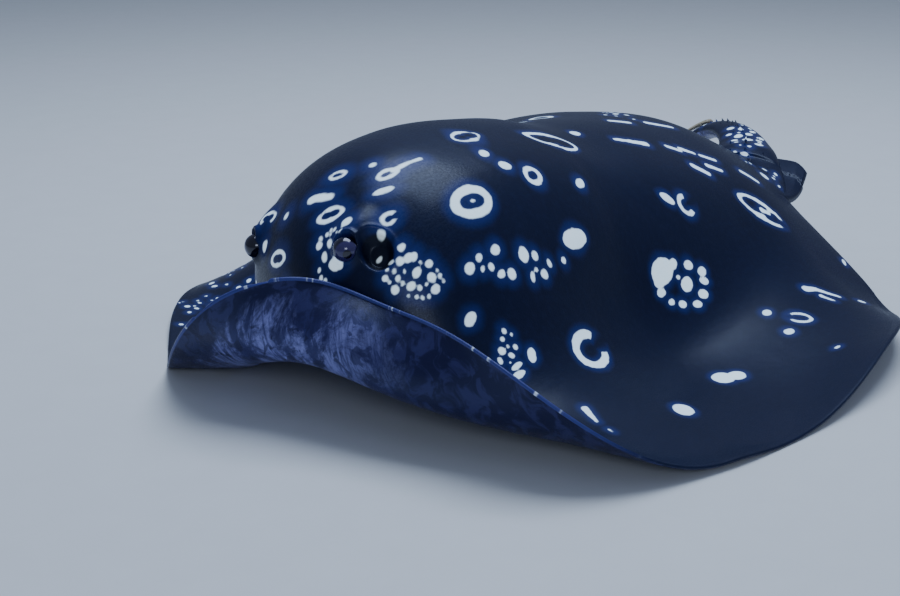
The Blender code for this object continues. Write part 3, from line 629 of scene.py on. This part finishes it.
def finfolds():
    """The keels above and below the end of the tail: rows up one side and down the other."""
    rows = np.linspace(FOLD_FIRST, FOLD_LAST, FINFOLD_ROWS)[:, None]
    share = (rows - FOLD_LAST) / (FOLD_FIRST - FOLD_LAST)
    swell = np.sin(np.pi * share) ** FINFOLD_SWELL
    back, under = back_height(rows, 0 * rows), fold_lift(rows)
    level, side = np.array([FINFOLD_LEVEL]), np.array([FINFOLD_SIDE])
    x, y = rows + 0 * level, FOLD_THICKNESS / 2 * side + 0 * rows
    for foot, crest in (
        (back - FINFOLD_FOOT, back + FOLD_HEIGHT * swell),
        (under + FINFOLD_FOOT, under * (1 - swell)),
    ):
        yield x, y, foot * (1 - level) + crest * level


def make_skin():
    """The skin, finfolds and thorns as one mesh, with the values that their material reads."""
    tail = spaced(TAIL_TIP, PELVIC_REAR, TAIL_PITCH)
    root = spaced(PELVIC_REAR, PELVIS_X, ROOT_PITCH)
    disc = spaced(PELVIS_X, NOSE, PITCH, (((EYE_X + SPIRACLE_X) / 2, *FACE_ROWS),))
    grids = [(*strip_sheet(np.concatenate((tail[:-1], root[:-1], disc))), False)]
    for side, pitch in ((1, PITCH), (-1, FAR_PITCH)):
        out = np.linspace(0, 1, int((DISC_WIDTH / 2 - TRUNK_HALF) / pitch))
        grids.append((*pectoral_points(disc, out, side), side < 0))
        out = np.linspace(0, 1, int(PELVIC_RADIUS / ROOT_PITCH))
        grids.append((*pelvic_points(root, out, side), side < 0))
    flat, quads = gather(grids)
    x, y = flat.T
    back = place(x, y, skin_back(x, y))
    under = place(x, y, skin_under(x, y))
    edges = boundary(quads)
    used = np.unique(edges)
    thick = back - under
    out = outward_turns(back, edges, thick)[used]
    edge_line = (back[used] + under[used]) / 2
    edge_line += out * np.linalg.norm(thick[used], axis=1)[:, None] * EDGE_OUT
    edge_line[:, 2] = np.maximum(edge_line[:, 2], EDGE_LOW)
    count = len(flat)
    middle_of = np.zeros(count, int)
    middle_of[used] = 2 * count + np.arange(len(used))
    a, b = edges.T
    walls = (
        np.column_stack((b, a, middle_of[a], middle_of[b])),
        np.column_stack((middle_of[b], middle_of[a], a + count, b + count)),
    )
    faces = [quads, quads[:, ::-1] + count, *walls]
    points = [back, under, edge_line]
    flats = [flat, flat, flat[used]]
    tops = [np.ones(count), np.zeros(count), np.full(len(used), 0.5)]
    total = 2 * count + len(used)
    for x, y, lift in (*finfolds(), *tail_thorns()):
        points.append(place(x, y, lift).reshape(-1, 3))
        faces.append(grid_faces(*x.shape, start=total))
        flats.append(np.column_stack((x.ravel(), y.ravel())))
        tops.append(np.ones(x.size))
        total += x.size
    skin = to_mesh("skin", np.concatenate(points), np.concatenate(faces))
    flat, top = np.concatenate(flats), np.concatenate(tops)
    x, y = flat.T
    angle = np.degrees(np.arctan2(y, x))
    off_curl = np.abs(angle - CURL_RAY)
    values = {
        "flat": np.column_stack((flat, top * 0)),
        "top": top,
        "rim_gap": rim_gap(x, y),
        "mark": mark_distance(x, y),
        "painted_spiracle_shade": 1 - smooth_step(spiracle_gap(x, np.abs(y)), *SPIRACLE_SHADE),
        "curled": 1 - smooth_step(off_curl, CURL_FADE * CURL_REACH, CURL_REACH),
        "lit": 1 - smooth_step(angle, *LIT_RAYS),
    }
    for name, value in values.items():
        set_attribute(skin, name, value)
    return skin


def rim_gap(x, y):
    """Distance inside the disc's edge; large on the tail."""
    gap = rim(np.arctan2(y, x)) - np.hypot(x, y)
    return np.where(x < PELVIS_X, OFF_DISC, np.maximum(gap, 0))


def make_sting(finish):
    """The tail's spine, flat and tapering, with forward barbs at each edge."""
    share = np.linspace(0, 1, STING_ROWS)[:, None]
    barb = 1 - BARB_DEPTH * np.mod(share * STING_BARBS, 1) * smooth_step(share, *BARBS_BEGIN)
    across = np.array([STING_ACROSS])
    width = STING_WIDTH * (1 - share) ** STING_TAPER + STING_POINT
    x = STING_START - STING_LENGTH * share + 0 * across
    y = width / 2 * across * np.where(np.abs(across) > BARB_EDGE, barb, 1)
    lift = back_height(x, 0 * y) + GAP + STING_RISE * share
    lift = lift + STING_DEPTH * (1 - (1 - STING_POINT_DEPTH) * share) * np.array([STING_LEVEL])
    x, y, lift = (closed_ends(values) for values in (x, y, lift))
    sting = to_mesh("sting", place(x, y, lift).reshape(-1, 3), grid_faces(*x.shape))
    sting.data.materials.append(finish)
    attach(sting, "root")
    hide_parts("tail_sting")
    return sting


def closed_ends(rows):
    """A grid with its first and last row drawn together in one more row at each end."""
    first, last = rows[:1], rows[-1:]
    return np.vstack((first.mean() + 0 * first, rows, last.mean() + 0 * last))


# Markings, in hundredths of the disc's width and degrees, x forward and y left.
# Each large mark is listed one by one after the animal's pattern; small dots follow rules.
# Rings: middle x, y, half length, half breadth, turn from forward, line, share left open.
RINGS = (
    (19.5, 9, 1.6, 1.1, 0, 0.8, 0),  # the large ring on the shoulder
    (-1, -0.5, 4.2, 1.4, -7, 0.8, 0),  # on the middle of the back
    (9.5, 6.5, 1.2, 0.8, 20, 0.6, 0),
    (13.5, 1.5, 2.2, 0.6, 18, 0.4, 0),
    (27.5, 3, 0.9, 0.4, 128, 0.35, 0),  # between the eyes
    (25, 1, 0.5, 0.3, 120, 0.25, 0),
    (23.5, 4, 0.6, 0.35, 168, 0.3, 0),  # a racket, with the stroke behind it
    (25.5, 7, 0.45, 0.4, 160, 0.3, 0.2),  # behind the eye
    (31, -1, 0.5, 1, 0, 0.35, 0),
    (27.5, -4.5, 0.4, 0.8, 0, 0.3, 0.2),
    (10.5, 24, 2.5, 2.1, 200, 1.1, 0.2),  # the broken ring on the left fin
    (-26, 29.5, 1.5, 0.9, -38, 0.5, 0.2),
    (-35.5, 12, 3.5, 1.4, 140, 0.7, 0.15),  # the open ring near the tail
    (-20.5, 10, 1.2, 1.1, 193, 0.6, 0.35),
    (25, -26, 2.2, 1.7, 30, 0.8, 0),  # right side
    (6, -11, 1.9, 1.5, 20, 0.7, 0),
    (15, -18, 1.3, 1.1, 70, 0.5, 0),
    (-9, -24, 2.4, 1.8, 10, 0.8, 0.2),
    (-20, -15, 1.6, 1.2, 40, 0.6, 0),
    (2, -33, 1.7, 1.4, 0, 0.6, 0.25),
    (-27, -27, 1.8, 1.2, 60, 0.6, 0),
    (12, -38, 1.3, 1, 30, 0.5, 0),
)
# Solid marks: middle x, y, half length, half breadth, turn.
BLOTS = (
    (19.5, 9, 0.25, 0.15, 0), (13, 5.5, 0.9, 0.5, 0), (14.5, 4, 0.8, 0.4, 20), (2, 7, 0.9, 0.5, 20),
    (7, 12.5, 2.2, 0.9, 8), (10, 14.5, 0.4, 0.3, 0),  # the large blot on the flank
    (24.5, 5, 0.65, 0.25, 154), (23.5, 2.5, 0.25, 0.2, 0), (28, -1.5, 0.3, 0.25, 0),
    (29.5, -4, 0.4, 0.4, 0), (33, 0.5, 0.5, 0.4, 0), (28.5, -7.5, 0.6, 0.4, 0),
    (31, -8, 0.4, 0.3, 0), (29.5, 3.5, 0.3, 0.3, 60), (30, 4.5, 0.4, 0.3, 40),
    (27.5, 5, 0.4, 0.35, 120), (30, 6, 0.8, 0.4, 116),  # the crescent below the eye
    (31, 4.5, 0.2, 0.15, 0), (31.5, 5, 0.25, 0.2, 0), (31.5, 5.5, 0.25, 0.2, 0),
    (26, 9.5, 0.3, 0.25, 0), (26, 10.5, 0.4, 0.35, 0), (27.5, 8.5, 0.3, 0.2, 0),
    (26.5, 7.5, 0.35, 0.2, 110), (24, 17.5, 0.8, 0.5, 20), (-11, 16.5, 2.2, 1.35, 15),
    (-14.5, 18.5, 1.1, 0.8, 20), (-13.5, 17.5, 0.35, 0.25, 0), (-17.5, 9, 1.2, 0.6, 148),
    (12.5, 25.5, 0.7, 0.5, 0), (10.5, 26, 0.3, 0.3, 0), (19.5, 23, 0.9, 0.5, 60),
    (22.5, 24.5, 1.1, 0.4, 10), (22, 23.5, 0.8, 0.3, 10), (6, 37.5, 1.6, 1.3, 0),
    (-7.5, 34, 1.6, 1.3, 0), (-9.5, 34.5, 1.3, 1, 0), (-23, 26.5, 0.65, 0.55, 0),
    (-22.5, 31, 0.75, 0.6, 0), (-24, 38, 0.5, 0.3, 0), (-39, 29.5, 0.7, 0.35, 150),
    (-47, 20, 0.9, 0.3, 50), (-12, -4, 1.2, 0.7, 0), (16, -10, 1.2, 0.9, 30), (-30, -18, 1, 0.8, 0),
    (-2, -22, 1.3, 0.8, 40),
)
# Strokes, thicker at the first end: x, y, x, y, half breadth at each end.
STROKES = (
    (23, 4, 21, 4, 0.2, 0.12), (27, 0.5, 26.5, 2, 0.3, 0.25), (18.5, 32, 19, 34.5, 0.5, 0.2),
    (19, 36.5, 19, 37, 0.2, 0.15), (-34, 12.5, -35, 13, 0.4, 0.35),
    (-35.5, 12, -36.5, 12.5, 0.4, 0.3), (-37, 12, -38, 12.5, 0.3, 0.25),
    (-32, 25, -33.5, 25.5, 0.6, 0.45), (-33.5, 25.5, -36, 28, 0.4, 0.2),
    (-33, 27, -34, 28.5, 0.35, 0.2), (-18, -1.5, -23, 0, 0.25, 0.5),
    (-27, 0.5, -29, 1.5, 0.35, 0.35), (-29.5, 1, -31.5, 2, 0.4, 0.3),
    (-32.5, 2.5, -34.5, 3.5, 0.3, 0.3), (-28, 4.5, -30, 6, 0.45, 0.4),
    (-31.5, 4.5, -33.5, 5.5, 0.4, 0.3), (-38, 5.5, -40, 7, 0.35, 0.3), (-24, -7, -27, -6, 0.4, 0.4),
    (-31, -6, -35, -4.5, 0.45, 0.3), (-10, -12, -12.5, -11.5, 0.4, 0.3),
)
# Rosettes, dots round an oval: middle x, y, half length, half breadth, count, dot size, seed.
ROSETTES = (
    (-13.5, 18.5, 4.2, 2.4, 11, 0.8, 2), (-14, -33, 3.6, 2.8, 10, 0.7, 4),
    (22, -34, 3, 2.2, 9, 0.6, 6),
)
# Clusters of dots: middle x, y, half length, half breadth, turn, count, dot size, seed.
CLUSTERS = (
    (26.5, 12, 2.7, 1.5, 125, 26, 0.33, 3),  # below the spiracle
    (28.5, 4.5, 1.3, 0.6, 116, 9, 0.24, 8),  # above the eye
    (17.5, 14.5, 5.5, 1.2, -8, 13, 0.55, 5),  # along the shoulder
    (22, 21.5, 2.2, 1.1, 60, 9, 0.3, 9),  # at the left margin
    (30, -34, 13, 6, 130, 60, 0.38, 11), (13, -43, 13, 4, 10, 34, 0.38, 12),
    (-10, -42, 13, 5, 175, 22, 0.45, 13),
    (27, -14, 6, 5, 20, 20, 0.42, 14), (-4, -16, 6, 4, 0, 10, 0.5, 15),
    (-24, -34, 8, 5, 150, 18, 0.5, 16),
    (20, -8, 3, 2.5, 0, 9, 0.35, 17), (-30, -10, 5, 3, 20, 10, 0.4, 18),
    (38, -6, 7, 2.5, 85, 14, 0.3, 19),
    (-46, 4, 5, 3, 0, 8, 0.5, 20), (-60, 0, 9, 2.5, 0, 20, 0.6, 21),
    (-82, 0, 11, 1.6, 0, 24, 0.4, 22),
)
DOT_SPACING = 1.25  # between dots' middles, in their summed half sizes
SHARP = 0.0010  # how softly a mark's edge turns into the skin


def turned(x, y, middle_x, middle_y, turn):
    """Offsets from a middle, along and across a direction, in hundredths of the width."""
    ahead, aside = 100 * x / DISC_WIDTH - middle_x, 100 * y / DISC_WIDTH - middle_y
    cos, sin = math.cos(math.radians(turn)), math.sin(math.radians(turn))
    return ahead * cos + aside * sin, aside * cos - ahead * sin


def oval_distance(along, across, length, breadth):
    """Rough distance outside an oval; below 0 inside it."""
    share = np.hypot(along / length, across / breadth)
    return (share - 1) * np.hypot(along, across) / np.maximum(share, 1e-6)


def rosette_dots(middle_x, middle_y, length, breadth, count, size, seed):
    """Blots spaced unevenly round an oval, each a little longer than broad."""
    rng = np.random.default_rng(seed)
    for number in range(count):
        angle = 2 * math.pi * (number + 0.35 * rng.random()) / count
        reach = 0.85 + 0.3 * rng.random()
        dot = size * (0.7 + 0.4 * rng.random())
        along, across = reach * length * math.cos(angle), reach * breadth * math.sin(angle)
        shape, way = 0.55 + 0.2 * rng.random(), 40 * rng.random() - 20
        yield middle_x + along, middle_y + across, dot, dot * shape, way


def cluster_dots(middle_x, middle_y, length, breadth, turn, count, size, seed):
    """Blots scattered in an oval without touching each other."""
    rng = np.random.default_rng(seed)
    cos, sin = math.cos(math.radians(turn)), math.sin(math.radians(turn))
    kept = []
    for _ in range(40 * count):
        reach, angle = math.sqrt(rng.random()), 2 * math.pi * rng.random()
        along, across = length * reach * math.cos(angle), breadth * reach * math.sin(angle)
        place_x, place_y = middle_x + along * cos - across * sin, middle_y + along * sin + across * cos
        dot = size * (0.45 + 1.0 * rng.random())
        shape, way = 0.7 + 0.25 * rng.random(), 180 * rng.random()
        clear = all(
            math.hypot(place_x - other[0], place_y - other[1]) > DOT_SPACING * (dot + other[2])
            for other in kept
        )
        if clear and len(kept) < count:
            kept.append((place_x, place_y, dot, dot * shape, way))
    return kept


def mark_distance(x, y):
    """Distance outside the nearest pale mark, in metres; below 0 inside it."""
    nearest = np.full(len(x), 4.0)
    for middle_x, middle_y, length, breadth, turn, line, gap in RINGS:
        along, across = turned(x, y, middle_x, middle_y, turn)
        ring = np.abs(oval_distance(along, across, length, breadth)) - line / 2
        if gap:
            off = np.abs(np.arctan2(across / breadth, along / length)) - gap * np.pi
            ring = np.maximum(ring, -off * breadth)
        nearest = np.minimum(nearest, ring)
    blots = list(BLOTS)
    for rosette in ROSETTES:
        blots += rosette_dots(*rosette)
    for cluster in CLUSTERS:
        blots += cluster_dots(*cluster)
    for middle_x, middle_y, length, breadth, turn in blots:
        along, across = turned(x, y, middle_x, middle_y, turn)
        near = (np.abs(along) < length + 4) & (np.abs(across) < breadth + 4)
        spot = oval_distance(along[near], across[near], length, breadth)
        nearest[near] = np.minimum(nearest[near], spot)
    for from_x, from_y, to_x, to_y, thick, thin in STROKES:
        ahead, aside = to_x - from_x, to_y - from_y
        along, across = turned(x, y, from_x, from_y, 0)
        share = np.clip((along * ahead + across * aside) / (ahead ** 2 + aside ** 2), 0, 1)
        off = np.hypot(along - share * ahead, across - share * aside)
        nearest = np.minimum(nearest, off - thick - (thin - thick) * share)
    return nearest * DISC_WIDTH / 100


def packed_slide():
    """The slide from the animal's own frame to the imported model's."""
    low, high = (np.array(corner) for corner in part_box("eye_left"))
    eye = place(np.array([EYE_X]), np.array([EYE_Y]), eye_lift(1))[0]
    return (low + high) / 2 - eye


class Shader:
    """Short names for building a node material."""

    def __init__(self, name):
        self.material = bpy.data.materials.new(name)
        self.material.use_nodes = True
        self.nodes = self.material.node_tree.nodes
        self.links = self.material.node_tree.links
        self.base = self.nodes["Principled BSDF"]

    def give(self, socket, value):
        if isinstance(value, bpy.types.NodeSocket):
            self.links.new(value, socket)
        elif isinstance(value, tuple) and socket.type == "RGBA":
            socket.default_value = (*value, 1)
        else:
            socket.default_value = value

    def set(self, **values):
        for name, value in values.items():
            self.give(self.base.inputs[name.replace("_", " ")], value)

    def node(self, kind, output=0, **values):
        """One output of a new node whose named inputs are given."""
        node = self.nodes.new("ShaderNode" + kind)
        for name, value in values.items():
            self.give(node.inputs[name.replace("_", " ")], value)
        return node.outputs[output]

    def read(self, name, output="Fac"):
        node = self.nodes.new("ShaderNodeAttribute")
        node.attribute_name = name
        return node.outputs[output]

    def math(self, operation, *values):
        node = self.nodes.new("ShaderNodeMath")
        node.operation = operation
        for socket, value in zip(node.inputs, values):
            self.give(socket, value)
        return node.outputs[0]

    def times(self, first, second):
        return self.math("MULTIPLY", first, second)

    def step(self, value, low, high, first=0.0, last=1.0):
        """From first where the value is at low to last where it is at high, softly."""
        made = self.node("MapRange", Value=value, From_Min=low, From_Max=high, To_Min=first, To_Max=last)
        made.node.interpolation_type = "SMOOTHSTEP"
        return made

    def mix(self, share, first, second):
        node = self.nodes.new("ShaderNodeMix")
        node.data_type = "RGBA"
        colours = [socket for socket in node.inputs if socket.type == "RGBA"]
        for socket, value in zip([node.inputs[0], *colours], (share, first, second)):
            self.give(socket, value)
        return [socket for socket in node.outputs if socket.type == "RGBA"][0]

    def noise(self, vector, scale, detail, roughness, distortion=0.0):
        return self.node(
            "TexNoise", "Fac", Vector=vector, Scale=scale, Detail=detail,
            Roughness=roughness, Distortion=distortion,
        )

    def stretched(self, vector, scale, detail, roughness, distortion=0.0):
        """Noise whose scale differs along each axis."""
        mapped = self.node("Mapping", Vector=vector)
        mapped.node.inputs["Scale"].default_value = scale
        return self.noise(mapped, 1.0, detail, roughness, distortion)

    def bump(self, height, distance, strength, **normal):
        return self.node("Bump", Height=height, Distance=distance, Strength=strength, **normal)


def skin_material():
    """Wet skin: blue black with pale marks above, dark and mottled with lilac below; a painted glow on
    and round the marks, painted shade in the spiracles and on the belly's unlit side, a painted
    highlight along the curled rim.
    """
    made = Shader("wet_spotted_skin")
    flat = made.read("flat", "Vector")
    top = made.step(made.read("top"), 0.35, 0.65)
    gap = made.read("rim_gap")
    cloud = made.noise(flat, 14, 4, 0.6)
    fine = made.noise(flat, 260, 3, 0.6)
    wobble = made.times(made.math("SUBTRACT", made.noise(flat, 190, 2, 0.5), 0.5), MARK_WANDER)
    edge = made.math("ADD", made.read("mark"), wobble)
    pale = made.step(edge, -SHARP / 2, SHARP / 2, 1.0, 0.0)
    painted_halo = made.step(edge, 0.0, PAINTED_HALO_REACH, PAINTED_HALO_SHARE, 0.0)
    dark = made.mix(cloud, (0.0030, 0.0045, 0.020), (0.006, 0.010, 0.038))
    dark = made.mix(made.step(fine, 0.4, 0.8, 0.0, 0.3), dark, (0.010, 0.017, 0.060))
    # painted light: a blue glow round the pale marks
    dark = made.mix(painted_halo, dark, (0.030, 0.060, 0.36))
    white = made.mix(fine, (0.62, 0.84, 1.0), (0.82, 0.95, 1.0))
    above = made.mix(pale, dark, white)
    # painted shade: the spiracle's hollow is coloured near black, over the marks
    above = made.mix(made.step(made.read("painted_spiracle_shade"), 0.2, 0.8), above, (0.002, 0.003, 0.010))
    streaks = made.stretched(flat, (20, 90, 1), 7, 0.75, 0.8)
    patches = made.noise(flat, 26, 6, 0.75, 0.5)
    spots = made.noise(flat, 75, 3, 0.6, 0.8)
    lilac = made.mix(made.step(patches, 0.42, 0.60), (0.022, 0.022, 0.085), (0.24, 0.25, 0.56))
    lilac = made.mix(made.step(streaks, 0.42, 0.62), lilac, (0.030, 0.032, 0.12))
    lilac = made.mix(made.step(spots, 0.56, 0.62, 0.0, 0.7), lilac, (0.010, 0.010, 0.040))
    border = made.step(made.math("ADD", gap, made.times(patches, 0.05)), *BELLY_BORDER)
    # the belly's own dark margin colour, also painted as shade on the belly away from the light
    dark_margin_and_shade = made.mix(made.step(spots, 0.45, 0.6), (0.010, 0.011, 0.045), (0.026, 0.028, 0.10))
    below = made.mix(made.times(border, made.read("lit")), dark_margin_and_shade, lilac)
    colour = made.mix(top, below, above)
    # painted highlight: a light blue line with white glints along the curled rim
    rim_glints = made.noise(flat, 170, 2, 0.5)
    line = made.times(made.step(gap, 0.0, RIM_HIGHLIGHT_WIDTH, 1.0, 0.0), made.read("curled"))
    colour = made.mix(made.times(line, 0.8), colour, (0.055, 0.065, 0.26))
    rim_glints = made.times(line, made.step(rim_glints, 0.60, 0.72))
    colour = made.mix(rim_glints, colour, (0.75, 0.85, 1.0))
    grain = made.noise(flat, 900, 2, 0.6)
    made.set(
        Base_Color=colour,
        Roughness=made.step(grain, 0.3, 0.7, 0.30, 0.48),
        Specular_IOR_Level=0.22, Specular_Tint=(0.55, 0.68, 1.0),
        Coat_Weight=0.12, Coat_Roughness=0.22, Coat_Tint=(0.6, 0.7, 1.0),
        # Emission: a painted glow that makes the pale marks shine with their own light
        Emission_Color=white, Emission_Strength=made.times(made.times(pale, top), PAINTED_MARK_GLOW),
        Normal=made.bump(grain, 0.0003, 0.35, Normal=made.bump(cloud, 0.004, 0.25)),
    )
    return made.material


def eye_material():
    """A dark glossy eye: a black pupil in a dark violet iris with fine spokes."""
    made = Shader("wet_eye")
    ball = made.read("ball", "Vector")
    off = made.read("off_axis")
    spokes = made.stretched(ball, (9, 9, 2), 5, 0.7)
    iris = made.mix(spokes, (0.014, 0.011, 0.045), (0.065, 0.055, 0.17))
    colour = made.mix(made.step(off, 0.30, 0.40), (0.001, 0.001, 0.002), iris)
    colour = made.mix(made.step(off, 0.95, 1.15), colour, (0.003, 0.003, 0.010))
    made.set(
        Base_Color=colour, Roughness=0.12,
        Coat_Weight=0.8, Coat_Roughness=0.04, Coat_Tint=(0.7, 0.7, 1.0),
    )
    return made.material


def sting_material():
    """Dull bone, streaked along its length."""
    made = Shader("sting_bone_streaked")
    spot = made.node("TexCoord", "Object")
    grain = made.stretched(spot, (60, 400, 400), 5, 0.7)
    stain = made.noise(spot, 140, 3, 0.6)
    bone = made.mix(grain, (0.30, 0.25, 0.17), (0.52, 0.46, 0.34))
    made.set(
        Base_Color=made.mix(made.step(stain, 0.5, 0.7, 0.0, 0.5), bone, (0.14, 0.11, 0.08)),
        Roughness=made.step(grain, 0.3, 0.7, 0.38, 0.6), Normal=made.bump(grain, 0.0004, 0.5),
    )
    return made.material


def make_floor():
    """A plain pale floor."""
    made = Shader("pale_floor")
    grain = made.noise(made.node("TexCoord", "Object"), 30, 4, 0.6)
    darker = tuple(FLOOR_DARKER * part for part in FLOOR_COLOUR)
    made.set(Base_Color=made.mix(grain, darker, FLOOR_COLOUR), Roughness=0.6)
    data = bpy.data.meshes.new("floor")
    corners = [(x * FLOOR_HALF, y * FLOOR_HALF, 0) for x, y in ((-1, -1), (1, -1), (1, 1), (-1, 1))]
    data.from_pydata(corners, [], [(0, 1, 2, 3)])
    data.materials.append(made.material)
    floor = bpy.data.objects.new("floor", data)
    bpy.context.scene.collection.objects.link(floor)


def make_light(name, spot, aim, size, power, colour):
    """A soft rectangular light."""
    light = bpy.data.objects.new(name, bpy.data.lights.new(name, "AREA"))
    light.data.shape = "RECTANGLE"
    light.data.size, light.data.size_y = size
    light.data.energy = power
    light.data.color = colour
    light.location = spot
    light.rotation_euler = (Vector(aim) - Vector(spot)).to_track_quat("-Z", "Y").to_euler()
    bpy.context.scene.collection.objects.link(light)


def make_studio():
    """Soft bluish light from above and in front."""
    world = bpy.data.worlds.new("studio")
    world.use_nodes = True
    background = world.node_tree.nodes["Background"].inputs
    background["Color"].default_value, background["Strength"].default_value = SKY
    bpy.context.scene.world = world
    for light in LIGHTS:
        make_light(*light)


def make_camera(slide):
    """The camera, in front of the animal's left eye."""
    camera = bpy.data.objects.new("camera", bpy.data.cameras.new("camera"))
    camera.location = np.array(CAMERA_SPOT) * DISC_WIDTH + slide
    yaw, pitch = math.radians(CAMERA_YAW), math.radians(CAMERA_PITCH)
    aim = Vector((math.cos(yaw) * math.cos(pitch), math.sin(yaw) * math.cos(pitch), math.sin(pitch)))
    camera.rotation_euler = aim.to_track_quat("-Z", "Y").to_euler()
    camera.data.lens = CAMERA_LENS
    bpy.context.scene.collection.objects.link(camera)
    bpy.context.scene.camera = camera


def make_eye(side, word, finish):
    """One eyeball, with each point's place in it and its angle from the pupil's middle."""
    round_angles, pole_angles = (np.linspace(0, k * np.pi, n) for k, n in zip((2, 1), EYE_GRID))
    u, v = np.meshgrid(round_angles, pole_angles, indexing="ij")
    ball = np.stack((np.cos(u) * np.sin(v), np.sin(u) * np.sin(v), np.cos(v)), -1)
    ball = EYE_RADIUS * ball.reshape(-1, 3)
    spot_x, spot_y = np.array([EYE_X] * 3), np.array([side * EYE_Y] * 3)
    spot_x[1] += PROBE
    spot_y[2] += PROBE
    here, ahead, aside = place(spot_x, spot_y, eye_lift(side))
    forward = (ahead - here) / np.linalg.norm(ahead - here)
    up = np.cross(forward, aside - here)
    up /= np.linalg.norm(up)
    axes = np.stack((forward, np.cross(up, forward), up))
    eye = to_mesh("eye_ball_" + word, ball @ axes + here, grid_faces(*EYE_GRID))
    sight = np.array((EYE_LOOK[0], side * EYE_LOOK[1], EYE_LOOK[2]))
    share = ball @ sight / np.linalg.norm(sight) / EYE_RADIUS
    set_attribute(eye, "ball", ball)
    set_attribute(eye, "off_axis", np.arccos(np.clip(share, -1, 1)))
    eye.data.materials.append(finish)
    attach(eye, "root")
    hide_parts("eye_" + word)
    return eye


TAIL_FRAME = tail_line()
slide = packed_slide()
skin = make_skin()
skin.data.materials.append(skin_material())
eye_finish = eye_material()
eyes = [make_eye(side, word, eye_finish) for side, word in ((1, "left"), (-1, "right"))]
for piece in (skin, *eyes, make_sting(sting_material())):
    piece.data.transform(Matrix.Translation(slide))
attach(skin, "root")
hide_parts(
    "head", "trunk", "pectoral_fin_left", "pectoral_fin_right", "pelvic_fin_left",
    "pelvic_fin_right", "tail_base", "tail_middle", "tail_tip",
    "tail_finfold_upper", "tail_finfold_lower",
)
make_floor()
make_studio()
make_camera(slide)
